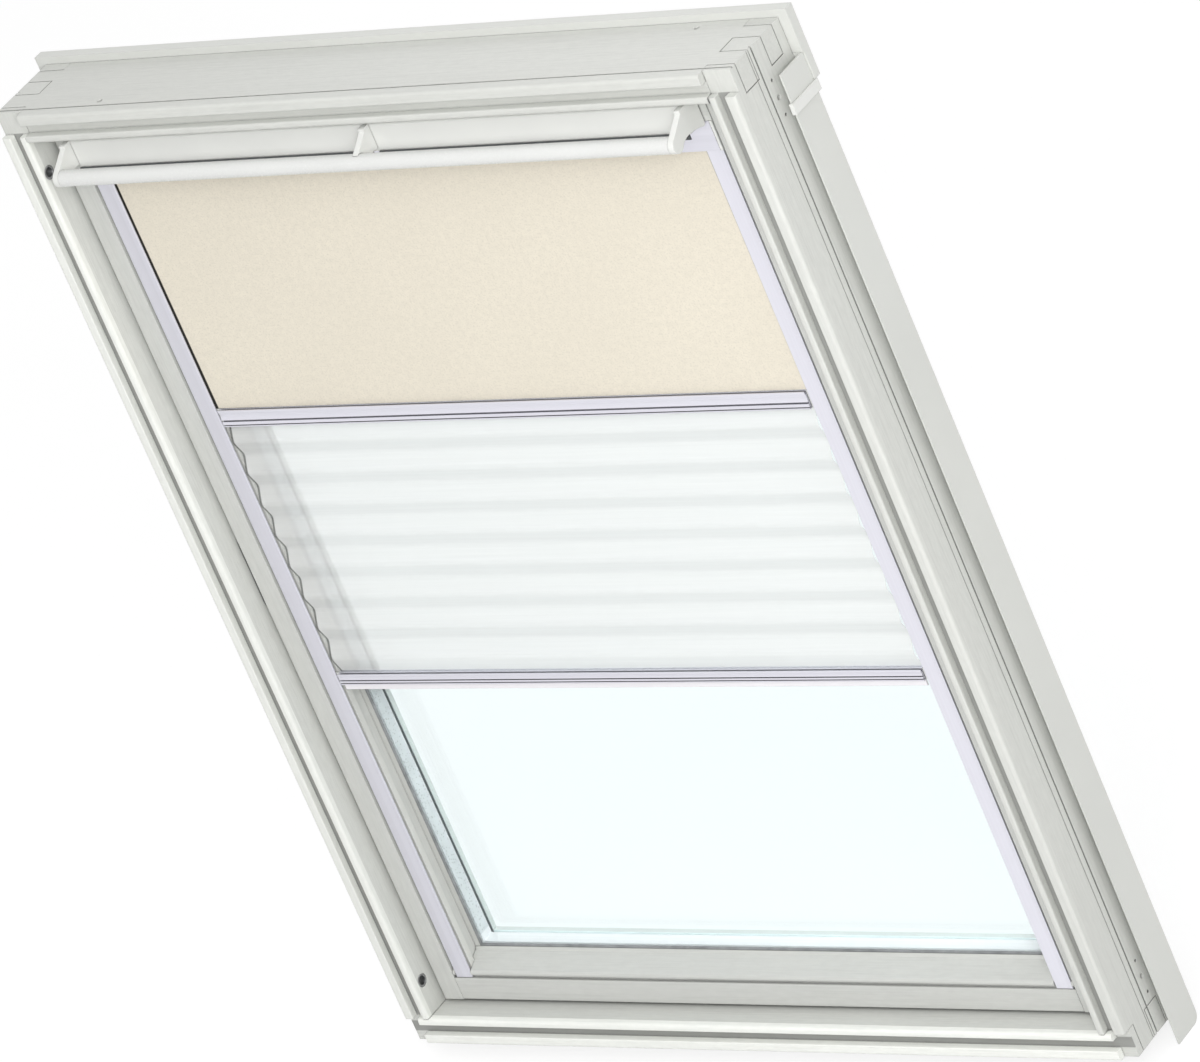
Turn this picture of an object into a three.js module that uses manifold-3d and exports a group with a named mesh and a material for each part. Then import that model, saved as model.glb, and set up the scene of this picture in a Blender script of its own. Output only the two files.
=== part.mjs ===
// Centre-pivot roof window of white painted timber, with a blackout and a pleated blind on its sash.
// The room is towards -Y and the roof's outside towards +Y. Z runs up the slope of the roof.
// Sections are drawn as [inset, depth]: inset from the frame's outer edge, depth from its room face.

import * as THREE from 'three';
import { mergeVertices } from 'three/addons/utils/BufferGeometryUtils.js';
import Module from 'manifold-3d';

const wasm = await Module();
wasm.setup();

// General fits, in millimetres

const fit = 0.3; // gap between pieces that are glued, screwed or pressed together
const slideGap = 0.6; // gap on each side of a piece that slides
const runGap = 0.3; // radial gap of a pin that turns
const overrun = 2; // how far a cut runs past the face it opens
const weldTolerance = 1e-4;

// Window frame

const frameWidth = 780;
const frameHeight = 978;
const frameDepth = 86;
const memberWidth = 27.5;
const outerLipWidth = 10;
const liningGrooveWidth = 10.5;
const liningGrooveDepth = 7.5;
const lipRound = 3;
const grooveEdgeRound = 0.8;
const innerLipRound = 1.6;
const fingerDepths = [16, 36.5, 57, 75];
const jointGroove = { width: 0.9, cut: 0.8 };
const topNotchHeight = 21.5;
const bottomNotchWidth = 14.5;
const topMark = { depth: 10.4, width: 1.5, cut: 1.2 };
const sideMarks = [{ depth: 33.5, width: 0.8, cut: 0.8 }, { depth: 40.1, width: 1.8, cut: 2.2 }];
const bracketHoles = { depth: 50, pitch: 16, endDistance: 53, middleRadius: 2.4, outerRadius: 1.5, cut: 8 };
const topHoles = [{ fromCentre: -281, depth: 18.5, radius: 2.5 }, { fromCentre: 314, depth: 77, radius: 2.5 }];
const topHoleCut = 8;

// Metal covers outside the frame

const sheet = 1.5;
const sideCoverOffset = 7;
const sideCoverLeg = 36;
const sideCoverRun = 20; // how far the side covers run below the frame
const sideCoverTopInset = 34;
const sideCoverCornerRound = 9;
const sideCoverFold = 12;
const headCoverRise = 7;
const headCoverReach = 10;
const headCoverReturn = 60;
const headCoverUpstand = 8;
const sillCoverDrop = 20;
const sillCoverUpstand = 10;
const coverClip = { height: 10, thickness: 2, overhang: 2 };

// Sash

const sashGap = 4;
const sashFaceDepth = 26;
const sashFaceWidth = 21.6;
const sashBehindGlass = 6;
const sashEdgeRound = 1.5;
const railSeatDepth = 38;
const railSeatWidth = 16.9;
const jambAboveGlass = 2;
const topFaceDepth = 25;
const topLipAboveGlass = 6;
const bottomFaceWidth = 23.5;
const bottomFaceGrooveWidth = 2;
const bottomNoseRound = 3;
const bottomSlopeRun = 10.7;
const bottomSlopeAboveGlass = 4;
const bottomBeadAboveGlass = 2.4;

// Glazing

const sideSight = 78;
const bottomSight = 75.5;
const topSight = 108;
const paneDepth = 52;
const paneThickness = 4;
const spacerThickness = 14;
const spacerWidth = 7;
const spacerSetback = 3;
const paneCover = 10;
const glazingSeal = { width: 2, depth: 1.6 };
const cladding = { thickness: 2, bevel: 2 };
const sashSeal = { thickness: 2.7, width: 6, sideDepth: 68, endDepth: 29.5, endClear: 12 };

// Pivot and barrel bolt

const pivotDepth = 36;
const pivotPlate = { height: 70, width: 11.4, thickness: 3, round: 4 };
const pivotPinRadius = 5;
const pivotPinReach = 4;
const boltRadius = 4;
const boltInset = 61.3;
const boltDepth = 58.3;
const boltLength = 27;
const boltSetback = 1;
const boltThrow = 12;
const boltBush = { radius: 6, length: 8.5 };
const ventAngle = 6.5; // degrees that the sash stands open with the bolt in the upper bush

// Ventilation flap and control bar

const flapEndInset = 66;
const flapFrontDepth = 8.5;
const flapBackDepth = 24;
const flapWall = 2.5;
const flapTopInset = 31.5;
const flapBottomInset = 59;
const flapRound = 2.5;
const hinge = { depth: 22, inset: 57, radius: 2.2 };
const barRadius = 7.3;
const barWall = 2;
const barForward = 16; // in front of the frame's room face
const barInset = 53.2;
const bracketWidth = 5.5;
const bracketShoulderInset = 34.5;
const bracketArch = { depth: 0.5, inset: 50.5 };

// Blind cassette and roller

const cassetteTopInset = 56.5;
const cassetteInset = 54.3;
const cassetteHeight = 28;
const cassetteFrontDepth = 25;
const cassetteDepth = 28.1;
const cassetteWall = 1.5;
const cassetteLip = 3;
const cassetteEndThickness = 2.5;
const rollerRadius = 9.6;
const rollerBore = 7.5;
const rollerJournal = 14;
const springRadius = 6.6;
const springLength = 180;

// Guide rails

const guideInset = 56;
const guideWidth = 17.5;
const guideFrontDepth = 27;
const guideBackDepth = 37.7;
const guideLip = 1.5;
const guideChamfer = 0.8;
const guideSlot = { width: 3, depth: 12.5 };
const guideEndGap = 0.5;

// Cloths and bars

const clothDepth = 30;
const clothThickness = 0.5;
const blackoutEdgeInset = 65;
const pleatedEdgeInset = 76;
const blackoutDrop = 249.5; // from the cassette down to the bottom of the blackout bar
const pleatDrop = 260; // from the blackout bar down to the top of the pleat bar
const pleatCount = 8;
const pleatSwing = 2.6;
const pleatSteps = 4;
const barEndInset = 76;
const barFrontDepth = 26;
const blackoutBar = {
  height: 16.5, depth: 8, foot: 1, footGroove: 1, lowerLip: 5, groove: 1.8, cut: 2.2, upperLip: 2, sag: 1,
};
const pleatBar = {
  height: 10.6, depth: 7.5, foot: 1, footGroove: 1, lowerLip: 3.8, groove: 1.2, cut: 2, upperLip: 1.4, sag: 0.6,
};
const barTrough = { lip: 1, width: 2.2, cut: 2.6 };
const glideLength = 10.5;

// Derived places

const roomFace = -frameDepth / 2;
const halfWidth = frameWidth / 2;
const outerPaneDepth = paneDepth + paneThickness + spacerThickness;
const sashBackDepth = outerPaneDepth + paneThickness + sashBehindGlass;
const jambWallDepth = paneDepth - jambAboveGlass;
const topLipDepth = paneDepth - topLipAboveGlass;
const bottomSlopeDepth = paneDepth - bottomSlopeAboveGlass;
const bottomBeadDepth = paneDepth - bottomBeadAboveGlass;
const sashEdge = memberWidth + sashGap;
const pivotHeight = frameHeight / 2;
const boltZ = frameHeight - boltInset;
const boltHeight = boltZ - pivotHeight;
const flapReach = halfWidth - flapEndInset;
const cassetteTop = frameHeight - cassetteTopInset;
const cassetteBottom = cassetteTop - cassetteHeight;
const blackoutBarZ = cassetteBottom - blackoutDrop;
const pleatBarZ = blackoutBarZ - pleatDrop - pleatBar.height;
const rollerZ = cassetteBottom + cassetteHeight / 2;
const rollerDepth = clothDepth + clothThickness / 2 + fit + rollerRadius;
const hingeY = roomFace + hinge.depth;
const hingeZ = frameHeight - hinge.inset;
const barY = roomFace - barForward;
const barZ = frameHeight - barInset;

// Materials

function finish(color, roughness, metalness) {
  return new THREE.MeshStandardMaterial({ color, roughness, metalness });
}

const finishes = {
  paint: finish('#eceee8', 0.45, 0),
  cover: finish('#dcddd8', 0.5, 0.1),
  plastic: finish('#f1f2ec', 0.4, 0),
  handle: finish('#f6f6f3', 0.3, 0),
  aluminium: finish('#d3d2dc', 0.35, 0.8),
  steel: finish('#9c9d9f', 0.35, 0.9),
  rubber: finish('#4a4d4e', 0.85, 0),
  glass: finish('#f1fbff', 0.05, 0),
  spacer: finish('#a9adb0', 0.4, 0.7),
  blackout: finish('#e9e1d0', 0.95, 0),
  pleated: finish('#f4f5f3', 0.9, 0),
};

// Shape helpers

function arc(x, y, radius, from, to, steps = 4) {
  return Array.from({ length: steps + 1 }, (_, i) => {
    const angle = THREE.MathUtils.degToRad(from + ((to - from) * i) / steps);
    return [x + radius * Math.cos(angle), y + radius * Math.sin(angle)];
  });
}

function solidOf(geometry) {
  const bare = new THREE.BufferGeometry();
  bare.setAttribute('position', geometry.getAttribute('position'));
  bare.setIndex(geometry.getIndex());
  const welded = mergeVertices(bare, weldTolerance);
  return new wasm.Manifold(new wasm.Mesh({
    numProp: 3,
    vertProperties: new Float32Array(welded.getAttribute('position').array),
    triVerts: new Uint32Array(welded.getIndex().array),
  }));
}

function geometryOf(solid) {
  const mesh = solid.getMesh();
  const geometry = new THREE.BufferGeometry();
  geometry.setAttribute('position', new THREE.BufferAttribute(new Float32Array(mesh.vertProperties), 3));
  geometry.setIndex(new THREE.BufferAttribute(new Uint32Array(mesh.triVerts), 1));
  geometry.computeVertexNormals();
  return geometry;
}

// Extrudes an outline in the (X, Y) plane along Z.
function alongZ(points, from, to) {
  const shape = new THREE.Shape(points.map(([x, y]) => new THREE.Vector2(x, y)));
  const geometry = new THREE.ExtrudeGeometry(shape, { depth: to - from, bevelEnabled: false });
  return solidOf(geometry.translate(0, 0, from));
}

// Extrudes an outline in the (Y, Z) plane along X.
function alongX(points, from, to) {
  return alongZ(points, from, to).rotate([90, 0, 90]);
}

function block([x0, x1], [y0, y1], [z0, z1]) {
  const geometry = new THREE.BoxGeometry(x1 - x0, y1 - y0, z1 - z0);
  return solidOf(geometry.translate((x0 + x1) / 2, (y0 + y1) / 2, (z0 + z1) / 2));
}

// A round bar along X, from one X to another.
function rodX(radius, [x0, x1], y, z, sides = 24) {
  const geometry = new THREE.CylinderGeometry(radius, radius, x1 - x0, sides);
  return solidOf(geometry.rotateZ(Math.PI / 2).translate((x0 + x1) / 2, y, z));
}

// A round bar along Z.
function rodZ(radius, x, y, [z0, z1], sides = 12) {
  const geometry = new THREE.CylinderGeometry(radius, radius, z1 - z0, sides);
  return solidOf(geometry.rotateX(Math.PI / 2).translate(x, y, (z0 + z1) / 2));
}

function cut(solid, tools) {
  return tools.reduce((rest, tool) => rest.subtract(tool), solid);
}

function mirrored(solid) {
  return solid.mirror([1, 0, 0]);
}

// The place of an [inset, depth] section on each side of the window.
const depthAt = (depth) => roomFace + depth;
const placeLeft = ([inset, depth]) => [inset - halfWidth, depthAt(depth)];
const placeBottom = ([inset, depth]) => [depthAt(depth), inset];
const placeTop = ([inset, depth]) => [depthAt(depth), frameHeight - inset];
const leftBar = (section, from, to) => alongZ(section.map(placeLeft), from, to);
const bottomBar = (section, from, to) => alongX(section.map(placeBottom), from, to);
const topBar = (section, from, to) => alongX(section.map(placeTop), from, to);
const depths = (from, to) => [depthAt(from), depthAt(to)];

// Adds a piece to a group. Its shape is drawn in window places, and sits about the group's own origin.
function piece(group, name, solid, material) {
  const mesh = new THREE.Mesh(geometryOf(solid), material);
  mesh.name = name;
  const home = group.getWorldPosition(new THREE.Vector3());
  mesh.geometry.translate(-home.x, -home.y, -home.z);
  group.add(mesh);
}

// Frame members, joined at the corners by interlocking fingers

function frameSection() {
  const innerLip = outerLipWidth + liningGrooveWidth;
  return [
    ...arc(lipRound, lipRound, lipRound, 180, 270),
    ...arc(outerLipWidth - grooveEdgeRound, grooveEdgeRound, grooveEdgeRound, 270, 360, 2),
    [outerLipWidth, liningGrooveDepth],
    [innerLip, liningGrooveDepth],
    ...arc(innerLip + innerLipRound, innerLipRound, innerLipRound, 180, 270),
    ...arc(memberWidth - lipRound, lipRound, lipRound, 270, 360),
    [memberWidth, frameDepth],
    [0, frameDepth],
  ];
}

// The depth slices of a corner, from the room face outwards; every other one belongs to one member.
function slices(parity) {
  const edges = [0, ...fingerDepths, frameDepth];
  const all = edges.slice(1).map((edge, i) => [edges[i], edge]);
  return all.filter((_, i) => i % 2 === parity);
}

// Cuts that clear the other member's fingers from a member's two ends.
function fingerCuts(parity, grow, xRange, zRange) {
  return slices(parity).flatMap(([from, to]) => {
    const front = from === 0 ? -overrun : from - grow;
    const back = to === frameDepth ? frameDepth + overrun : to + grow;
    const left = block(xRange, depths(front, back), zRange);
    return [left, mirrored(left)];
  });
}

// The fine groove that shows along the glue line of each finger, round the corner's two outside faces.
function jointGrooveCuts(endZ, outZ) {
  const half = jointGroove.width / 2;
  const endX = -halfWidth + memberWidth;
  const outX = -halfWidth - overrun;
  const faceZ = outZ - Math.sign(outZ - endZ) * (overrun + jointGroove.cut);
  const ordered = (a, b) => [Math.min(a, b), Math.max(a, b)];
  const lines = fingerDepths.flatMap((depth) => {
    const across = depths(depth - half, depth + half);
    return [
      block([outX, endX + half], across, ordered(faceZ, outZ)),
      block([outX, -halfWidth + jointGroove.cut], across, ordered(endZ, outZ)),
    ];
  });
  const ends = (parity, make) => slices(parity)
    .filter(([from, to]) => from > 0 && to < frameDepth)
    .map(([from, to]) => make(depths(from - half, to + half)));
  const topParity = outZ > endZ ? 1 : 0;
  const onEnd = ends(1 - topParity, (across) => block([endX - half, endX + half], across, ordered(faceZ, outZ)));
  const onSide = ends(topParity, (across) =>
    block([outX, -halfWidth + jointGroove.cut], across, ordered(endZ - half, endZ + half)));
  return [...lines, ...onEnd, ...onSide].flatMap((left) => [left, mirrored(left)]);
}

const topGrooveCuts = () => jointGrooveCuts(frameHeight - memberWidth, frameHeight + overrun);
const bottomGrooveCuts = () => jointGrooveCuts(memberWidth, -overrun);

const cornerX = [-halfWidth - overrun, -halfWidth + memberWidth];
const fullX = [-halfWidth - overrun, halfWidth + overrun];
const fullZ = [-overrun, frameHeight + overrun];
const topZ = [frameHeight - memberWidth, frameHeight + overrun];
const bottomZ = [-overrun, memberWidth];

function markCuts() {
  const top = block(fullX, depths(topMark.depth, topMark.depth + topMark.width),
    [frameHeight - topMark.cut, frameHeight + overrun]);
  const sides = sideMarks.flatMap((mark) => {
    const left = block([-halfWidth - overrun, -halfWidth + mark.cut], depths(mark.depth, mark.depth + mark.width), fullZ);
    return [left, mirrored(left)];
  });
  return [top, ...sides];
}

// Screw holes for the mounting brackets, near both ends of each side.
function bracketHoleCuts() {
  return [bracketHoles.endDistance, frameHeight - bracketHoles.endDistance].flatMap((height) =>
    [-1, 0, 1].map((step) => {
      const radius = step === 0 ? bracketHoles.middleRadius : bracketHoles.outerRadius;
      const x = [-halfWidth - overrun, -halfWidth + bracketHoles.cut];
      return rodX(radius, x, depthAt(bracketHoles.depth), height + step * bracketHoles.pitch, 12);
    }));
}

function pivotPlateShape(clear) {
  const halfHeight = pivotPlate.height / 2 + clear;
  const half = pivotPlate.width / 2 + clear;
  const round = pivotPlate.round;
  const y = depthAt(pivotDepth);
  return [
    ...arc(y - half + round, pivotHeight - halfHeight + round, round, 180, 270),
    ...arc(y + half - round, pivotHeight - halfHeight + round, round, 270, 360),
    ...arc(y + half - round, pivotHeight + halfHeight - round, round, 0, 90),
    ...arc(y - half + round, pivotHeight + halfHeight - round, round, 90, 180),
  ];
}

const frameWallX = -halfWidth + memberWidth;
const sashWallX = -halfWidth + sashEdge;
const pinEndX = frameWallX - pivotPlate.thickness - fit - pivotPinReach;

function framePivotCuts() {
  return [
    alongX(pivotPlateShape(fit), frameWallX - pivotPlate.thickness - fit, frameWallX + overrun),
    rodX(pivotPinRadius + 2 * runGap, [pinEndX - fit, frameWallX + overrun], depthAt(pivotDepth), pivotHeight),
  ];
}

// The bolt's place [Z, depth] in the frame when the sash has turned by an angle in degrees.
function boltPlace(angle) {
  const turn = THREE.MathUtils.degToRad(angle);
  const back = boltDepth - pivotDepth;
  return [
    pivotHeight + boltHeight * Math.cos(turn) + back * Math.sin(turn),
    pivotDepth + back * Math.cos(turn) - boltHeight * Math.sin(turn),
  ];
}

const boltEndX = sashWallX + boltSetback;
const bushBackX = frameWallX - boltBush.length;

function boltHoleCuts() {
  const holes = [[0, boltRadius + runGap], [ventAngle, boltBush.radius + fit], [180, boltBush.radius + fit]];
  return holes.map(([angle, radius]) => {
    const [z, depth] = boltPlace(angle);
    const backX = Math.min(bushBackX, boltEndX - boltThrow) - fit;
    return rodX(radius, [backX, frameWallX + overrun], depthAt(depth), z);
  });
}

function frameSide() {
  const body = leftBar(frameSection(), 0, frameHeight);
  const notch = block([cornerX[0], cornerX[1] + overrun], depths(-overrun, liningGrooveDepth),
    [frameHeight - topNotchHeight, frameHeight + overrun]);
  return cut(body, [
    ...fingerCuts(1, 0, cornerX.map((x, i) => x + i * overrun), [topZ[0] - fit, topZ[1]]),
    ...fingerCuts(0, 0, cornerX.map((x, i) => x + i * overrun), [bottomZ[0], bottomZ[1] + fit]),
    notch,
    ...topGrooveCuts(),
    ...bottomGrooveCuts(),
    ...markCuts(),
    ...bracketHoleCuts(),
    ...framePivotCuts(),
  ]);
}

function frameTop() {
  const holes = topHoles.map((hole) => rodZ(hole.radius, hole.fromCentre, depthAt(hole.depth),
    [frameHeight - topHoleCut, frameHeight + overrun]));
  return cut(topBar(frameSection(), -halfWidth, halfWidth), [
    ...fingerCuts(0, fit, [cornerX[0], cornerX[1] + fit], [topZ[0] - overrun, topZ[1]]),
    ...topGrooveCuts(),
    ...markCuts(),
    ...holes,
  ]);
}

function frameBottom() {
  const notch = block([cornerX[0], -halfWidth + bottomNotchWidth], depths(-overrun, liningGrooveDepth), fullZ);
  return cut(bottomBar(frameSection(), -halfWidth, halfWidth), [
    ...fingerCuts(1, fit, [cornerX[0], cornerX[1] + fit], [bottomZ[0], bottomZ[1] + overrun]),
    notch,
    mirrored(notch),
    ...bottomGrooveCuts(),
    ...markCuts(),
  ]);
}

// Sheet-metal covers

const coverX = halfWidth + sideCoverOffset;
const coverBack = frameDepth + fit;

// A side cover: a web on the outside face of the frame, folded down to a leg beside it.
function sideCover() {
  const outer = -coverX - sheet;
  const web = alongZ([
    [frameWallX, depthAt(coverBack)],
    [frameWallX, depthAt(coverBack + sideCoverFold)],
    [frameWallX - sheet, depthAt(coverBack + sideCoverFold)],
    [frameWallX - sheet, depthAt(coverBack + sheet)],
    [outer, depthAt(coverBack + sheet)],
    [outer, depthAt(coverBack + sheet - sideCoverLeg)],
    [-coverX, depthAt(coverBack + sheet - sideCoverLeg)],
    [-coverX, depthAt(coverBack)],
  ], -sideCoverRun, frameHeight - sideCoverTopInset);
  const round = sideCoverCornerRound;
  const backY = depthAt(coverBack + sheet);
  const corner = [
    [backY + overrun, -sideCoverRun - overrun],
    [backY + overrun, round - sideCoverRun],
    ...arc(backY - round, round - sideCoverRun, round, 0, -90, 6),
    [backY - round, -sideCoverRun - overrun],
  ];
  return web.subtract(alongX(corner, outer - overrun, -halfWidth - fit));
}

// The head cover lies over the top member and the side covers, with an upstand along its edge.
function headCover() {
  const bottomZ = frameHeight - memberWidth;
  const topZ = frameHeight + headCoverRise;
  const reach = halfWidth + headCoverReach;
  const returnZ = topZ - headCoverRise - headCoverReturn;
  const plateFront = coverBack + sheet + fit;
  const plateBack = plateFront + sheet;
  const plate = block([-reach, reach], depths(plateFront, plateBack), [bottomZ, topZ]);
  const packer = block([-reach, reach], depths(coverBack, plateBack), [frameHeight - sideCoverTopInset + fit, topZ]);
  const upstand = block([-reach, reach], depths(plateFront, plateFront + headCoverUpstand), [topZ - sheet, topZ]);
  const wing = block([-reach, frameWallX], depths(plateFront, plateBack), [returnZ, topZ]);
  const wingEdge = block([-reach, sheet - reach], depths(plateFront, plateFront + headCoverUpstand), [returnZ, topZ]);
  const side = wing.add(wingEdge);
  return plate.add(packer).add(upstand).add(side).add(mirrored(side))
    .subtract(block([frameWallX - fit - sheet, -frameWallX + fit + sheet],
      depths(coverBack - overrun, plateBack + headCoverUpstand), [returnZ - overrun, bottomZ]))
    .subtract(sideCoverClearance()).subtract(mirrored(sideCoverClearance()));
}

// Room for the side cover's inner fold where the head cover laps it.
function sideCoverClearance() {
  return block([frameWallX - sheet - fit, frameWallX + fit], depths(coverBack - fit, coverBack + sideCoverFold + fit),
    [0, frameHeight - sideCoverTopInset + fit]);
}

// A strap that ties the end of the head cover to the side cover's leg.
function headClip() {
  const top = frameHeight - headCoverReturn - fit;
  const legFront = coverBack + sheet - sideCoverLeg;
  const outer = -coverX - sheet - fit;
  const plateFront = coverBack + sheet + fit;
  return alongZ([
    [outer, depthAt(plateFront)],
    [frameWallX - sheet - fit, depthAt(plateFront)],
    [frameWallX - sheet - fit, depthAt(plateFront + coverClip.thickness)],
    [outer - coverClip.thickness, depthAt(plateFront + coverClip.thickness)],
    [outer - coverClip.thickness, depthAt(legFront - fit - coverClip.overhang)],
    [-coverX + fit, depthAt(legFront - fit - coverClip.overhang)],
    [-coverX + fit, depthAt(legFront - fit)],
    [outer, depthAt(legFront - fit)],
  ], top - coverClip.height, top);
}

// The sill cover hangs below the bottom member, between the side covers' legs.
function sillCover() {
  const section = [
    [depthAt(coverBack), memberWidth],
    [depthAt(coverBack), -sillCoverDrop],
    [depthAt(coverBack + sheet), -sillCoverDrop],
    [depthAt(coverBack + sheet), memberWidth - sheet],
    [depthAt(coverBack + sillCoverUpstand), memberWidth - sheet],
    [depthAt(coverBack + sillCoverUpstand), memberWidth],
  ];
  return alongX(section, frameWallX + fit, -frameWallX - fit);
}

// Sash members: side jambs run through, and the top and bottom are coped to them

function rebate(sight) {
  const lipEdge = sight - glazingSeal.width - fit;
  const wall = sight - paneCover - fit;
  return [
    [lipEdge, paneDepth - fit],
    [wall, paneDepth - fit],
    [wall, sashBackDepth],
    [sashEdge, sashBackDepth],
  ];
}

function jambSection(grow) {
  const face = sashEdge + sashFaceWidth;
  const seat = face + railSeatWidth;
  const lipEdge = sideSight - glazingSeal.width - fit;
  const inner = [
    [face + grow, sashFaceDepth - (grow > 0 ? overrun : 0)],
    [face + grow, railSeatDepth - grow],
    [seat + grow, railSeatDepth - grow],
    [seat + grow, jambWallDepth - grow],
    [lipEdge + grow, jambWallDepth - grow],
  ];
  if (grow > 0) {
    return [
      [sashEdge - overrun, sashFaceDepth - overrun],
      ...inner,
      [lipEdge + grow, paneDepth - fit],
      [sideSight - paneCover, paneDepth - fit],
      [sideSight - paneCover, sashBackDepth + overrun],
      [sashEdge - overrun, sashBackDepth + overrun],
    ];
  }
  const round = sashEdgeRound;
  return [...arc(sashEdge + round, sashFaceDepth + round, round, 180, 270), ...inner, ...rebate(sideSight)];
}

function topSection() {
  const recess = cassetteTopInset + cassetteHeight + fit;
  return [
    [sashEdge, topFaceDepth],
    [cassetteTopInset - fit, topFaceDepth],
    [cassetteTopInset - fit, cassetteFrontDepth + cassetteDepth + fit],
    [recess, cassetteFrontDepth + cassetteDepth + fit],
    [recess, topLipDepth],
    [topSight - glazingSeal.width - fit, topLipDepth],
    ...rebate(topSight),
  ];
}

function bottomSection() {
  const face = sashEdge + bottomFaceWidth;
  const nose = face + bottomFaceGrooveWidth + bottomNoseRound;
  const round = sashEdgeRound;
  return [
    ...arc(sashEdge + round, sashFaceDepth + round, round, 180, 270),
    [face, sashFaceDepth],
    [face, sashFaceDepth + bottomNoseRound],
    ...arc(nose, sashFaceDepth + bottomNoseRound, bottomNoseRound, 180, 330),
    [nose + bottomSlopeRun, bottomSlopeDepth],
    [bottomSight - glazingSeal.width - fit, bottomBeadDepth],
    ...rebate(bottomSight),
  ];
}

const sashBottomZ = sashEdge;
const sashTopZ = frameHeight - sashEdge;
const sashCopes = () => {
  const left = leftBar(jambSection(fit), 0, frameHeight);
  return [left, mirrored(left)];
};

function sashJamb() {
  const cassetteRoom = block([-halfWidth + cassetteInset - fit, 0],
    depths(sashFaceDepth - overrun, cassetteFrontDepth + cassetteDepth + fit),
    [cassetteBottom - fit, cassetteTop + fit]);
  return cut(leftBar(jambSection(0), sashBottomZ, sashTopZ), [
    cassetteRoom,
    alongX(pivotPlateShape(fit), sashWallX - overrun, sashWallX + pivotPlate.thickness + fit),
  ]);
}

function boltBore() {
  return rodX(boltRadius + runGap, [sashWallX - overrun, boltEndX + boltLength + fit], depthAt(boltDepth), boltZ);
}

function sashTop() {
  return cut(topBar(topSection(), sashWallX, -sashWallX), sashCopes());
}

function sashBottom() {
  const railFoot = block([-halfWidth + guideInset - fit, -halfWidth + guideInset + guideWidth + fit],
    depths(sashFaceDepth - overrun, guideBackDepth + fit), [sashEdge + bottomFaceWidth, frameHeight]);
  return cut(bottomBar(bottomSection(), sashWallX, -sashWallX), [
    ...sashCopes(),
    railFoot,
    mirrored(railFoot),
  ]);
}

// Glazing unit: two panes around a hollow-bar spacer

const paneX = halfWidth - sideSight + paneCover;
const paneZ = [bottomSight - paneCover, frameHeight - topSight + paneCover];

function pane(depth) {
  return block([-paneX, paneX], depths(depth, depth + paneThickness), paneZ);
}

function paneSpacer() {
  const depthRange = depths(paneDepth + paneThickness + fit, outerPaneDepth - fit);
  const x = paneX - spacerSetback;
  const z = [paneZ[0] + spacerSetback, paneZ[1] - spacerSetback];
  const hole = block([spacerWidth - x, x - spacerWidth], depths(0, frameDepth), [z[0] + spacerWidth, z[1] - spacerWidth]);
  return block([-x, x], depthRange, z).subtract(hole);
}

// The seal strip that shows as a dark line along each edge of the glass.
function sealSection(sight) {
  const edge = sight - glazingSeal.width;
  return [
    [edge, paneDepth - fit],
    [edge, paneDepth - fit - glazingSeal.depth],
    [sight - glazingSeal.width / 2, paneDepth - fit - glazingSeal.depth],
    [sight, paneDepth - fit - glazingSeal.depth / 2],
    [sight, paneDepth - fit],
  ];
}

// Cladding outside the sash, turned down on the glass.
function claddingSection(sight) {
  const inner = sight - paneCover + fit;
  const glassFace = outerPaneDepth + paneThickness + fit;
  const top = sashBackDepth + fit + cladding.thickness;
  return [
    [sashEdge, sashBackDepth + fit],
    [inner, sashBackDepth + fit],
    [inner, glassFace],
    [sight, glassFace],
    [sight, top - cladding.bevel],
    [sight - cladding.bevel, top],
    [sashEdge, top],
  ];
}

const claddingHalf = halfWidth - sideSight - fit;

// The side cladding runs through; its leg stops short of the sash's top and bottom.
function sideCladding() {
  const x = [-halfWidth, 0];
  const legDepths = depths(0, sashBackDepth + fit);
  return cut(leftBar(claddingSection(sideSight), sashBottomZ, sashTopZ), [
    block(x, legDepths, [0, paneZ[0]]),
    block(x, legDepths, [paneZ[1], frameHeight]),
  ]);
}

function sashSeals() {
  const { thickness, width, sideDepth, endDepth, endClear } = sashSeal;
  const strip = (depth) => [
    [sashEdge - fit, depth],
    [sashEdge - fit, depth + width],
    [sashEdge - thickness, depth + width / 2],
  ];
  return {
    left: leftBar(strip(sideDepth), sashBottomZ + endClear, sashTopZ - endClear),
    bottom: bottomBar(strip(endDepth), sashWallX + endClear, -sashWallX - endClear),
    top: topBar(strip(endDepth), sashWallX + endClear, -sashWallX - endClear),
  };
}

// Pivot halves and the barrel bolt

function framePivot() {
  const plate = alongX(pivotPlateShape(0), frameWallX - pivotPlate.thickness, frameWallX - fit);
  const x = [frameWallX - pivotPlate.thickness - overrun, frameWallX + overrun];
  return plate.subtract(rodX(pivotPinRadius + runGap, x, depthAt(pivotDepth), pivotHeight));
}

function sashPivot() {
  const plate = alongX(pivotPlateShape(0), sashWallX, sashWallX + pivotPlate.thickness);
  return plate.add(rodX(pivotPinRadius, [pinEndX, sashWallX + pivotPlate.thickness / 2], depthAt(pivotDepth), pivotHeight));
}

function bush(angle) {
  const [z, depth] = boltPlace(angle);
  const hole = rodX(boltRadius + runGap, [bushBackX - overrun, frameWallX + overrun], depthAt(depth), z);
  return rodX(boltBush.radius, [bushBackX, frameWallX - fit], depthAt(depth), z).subtract(hole);
}

function barrelBolt() {
  return rodX(boltRadius, [boltEndX, boltEndX + boltLength], depthAt(boltDepth), boltZ);
}

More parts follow.
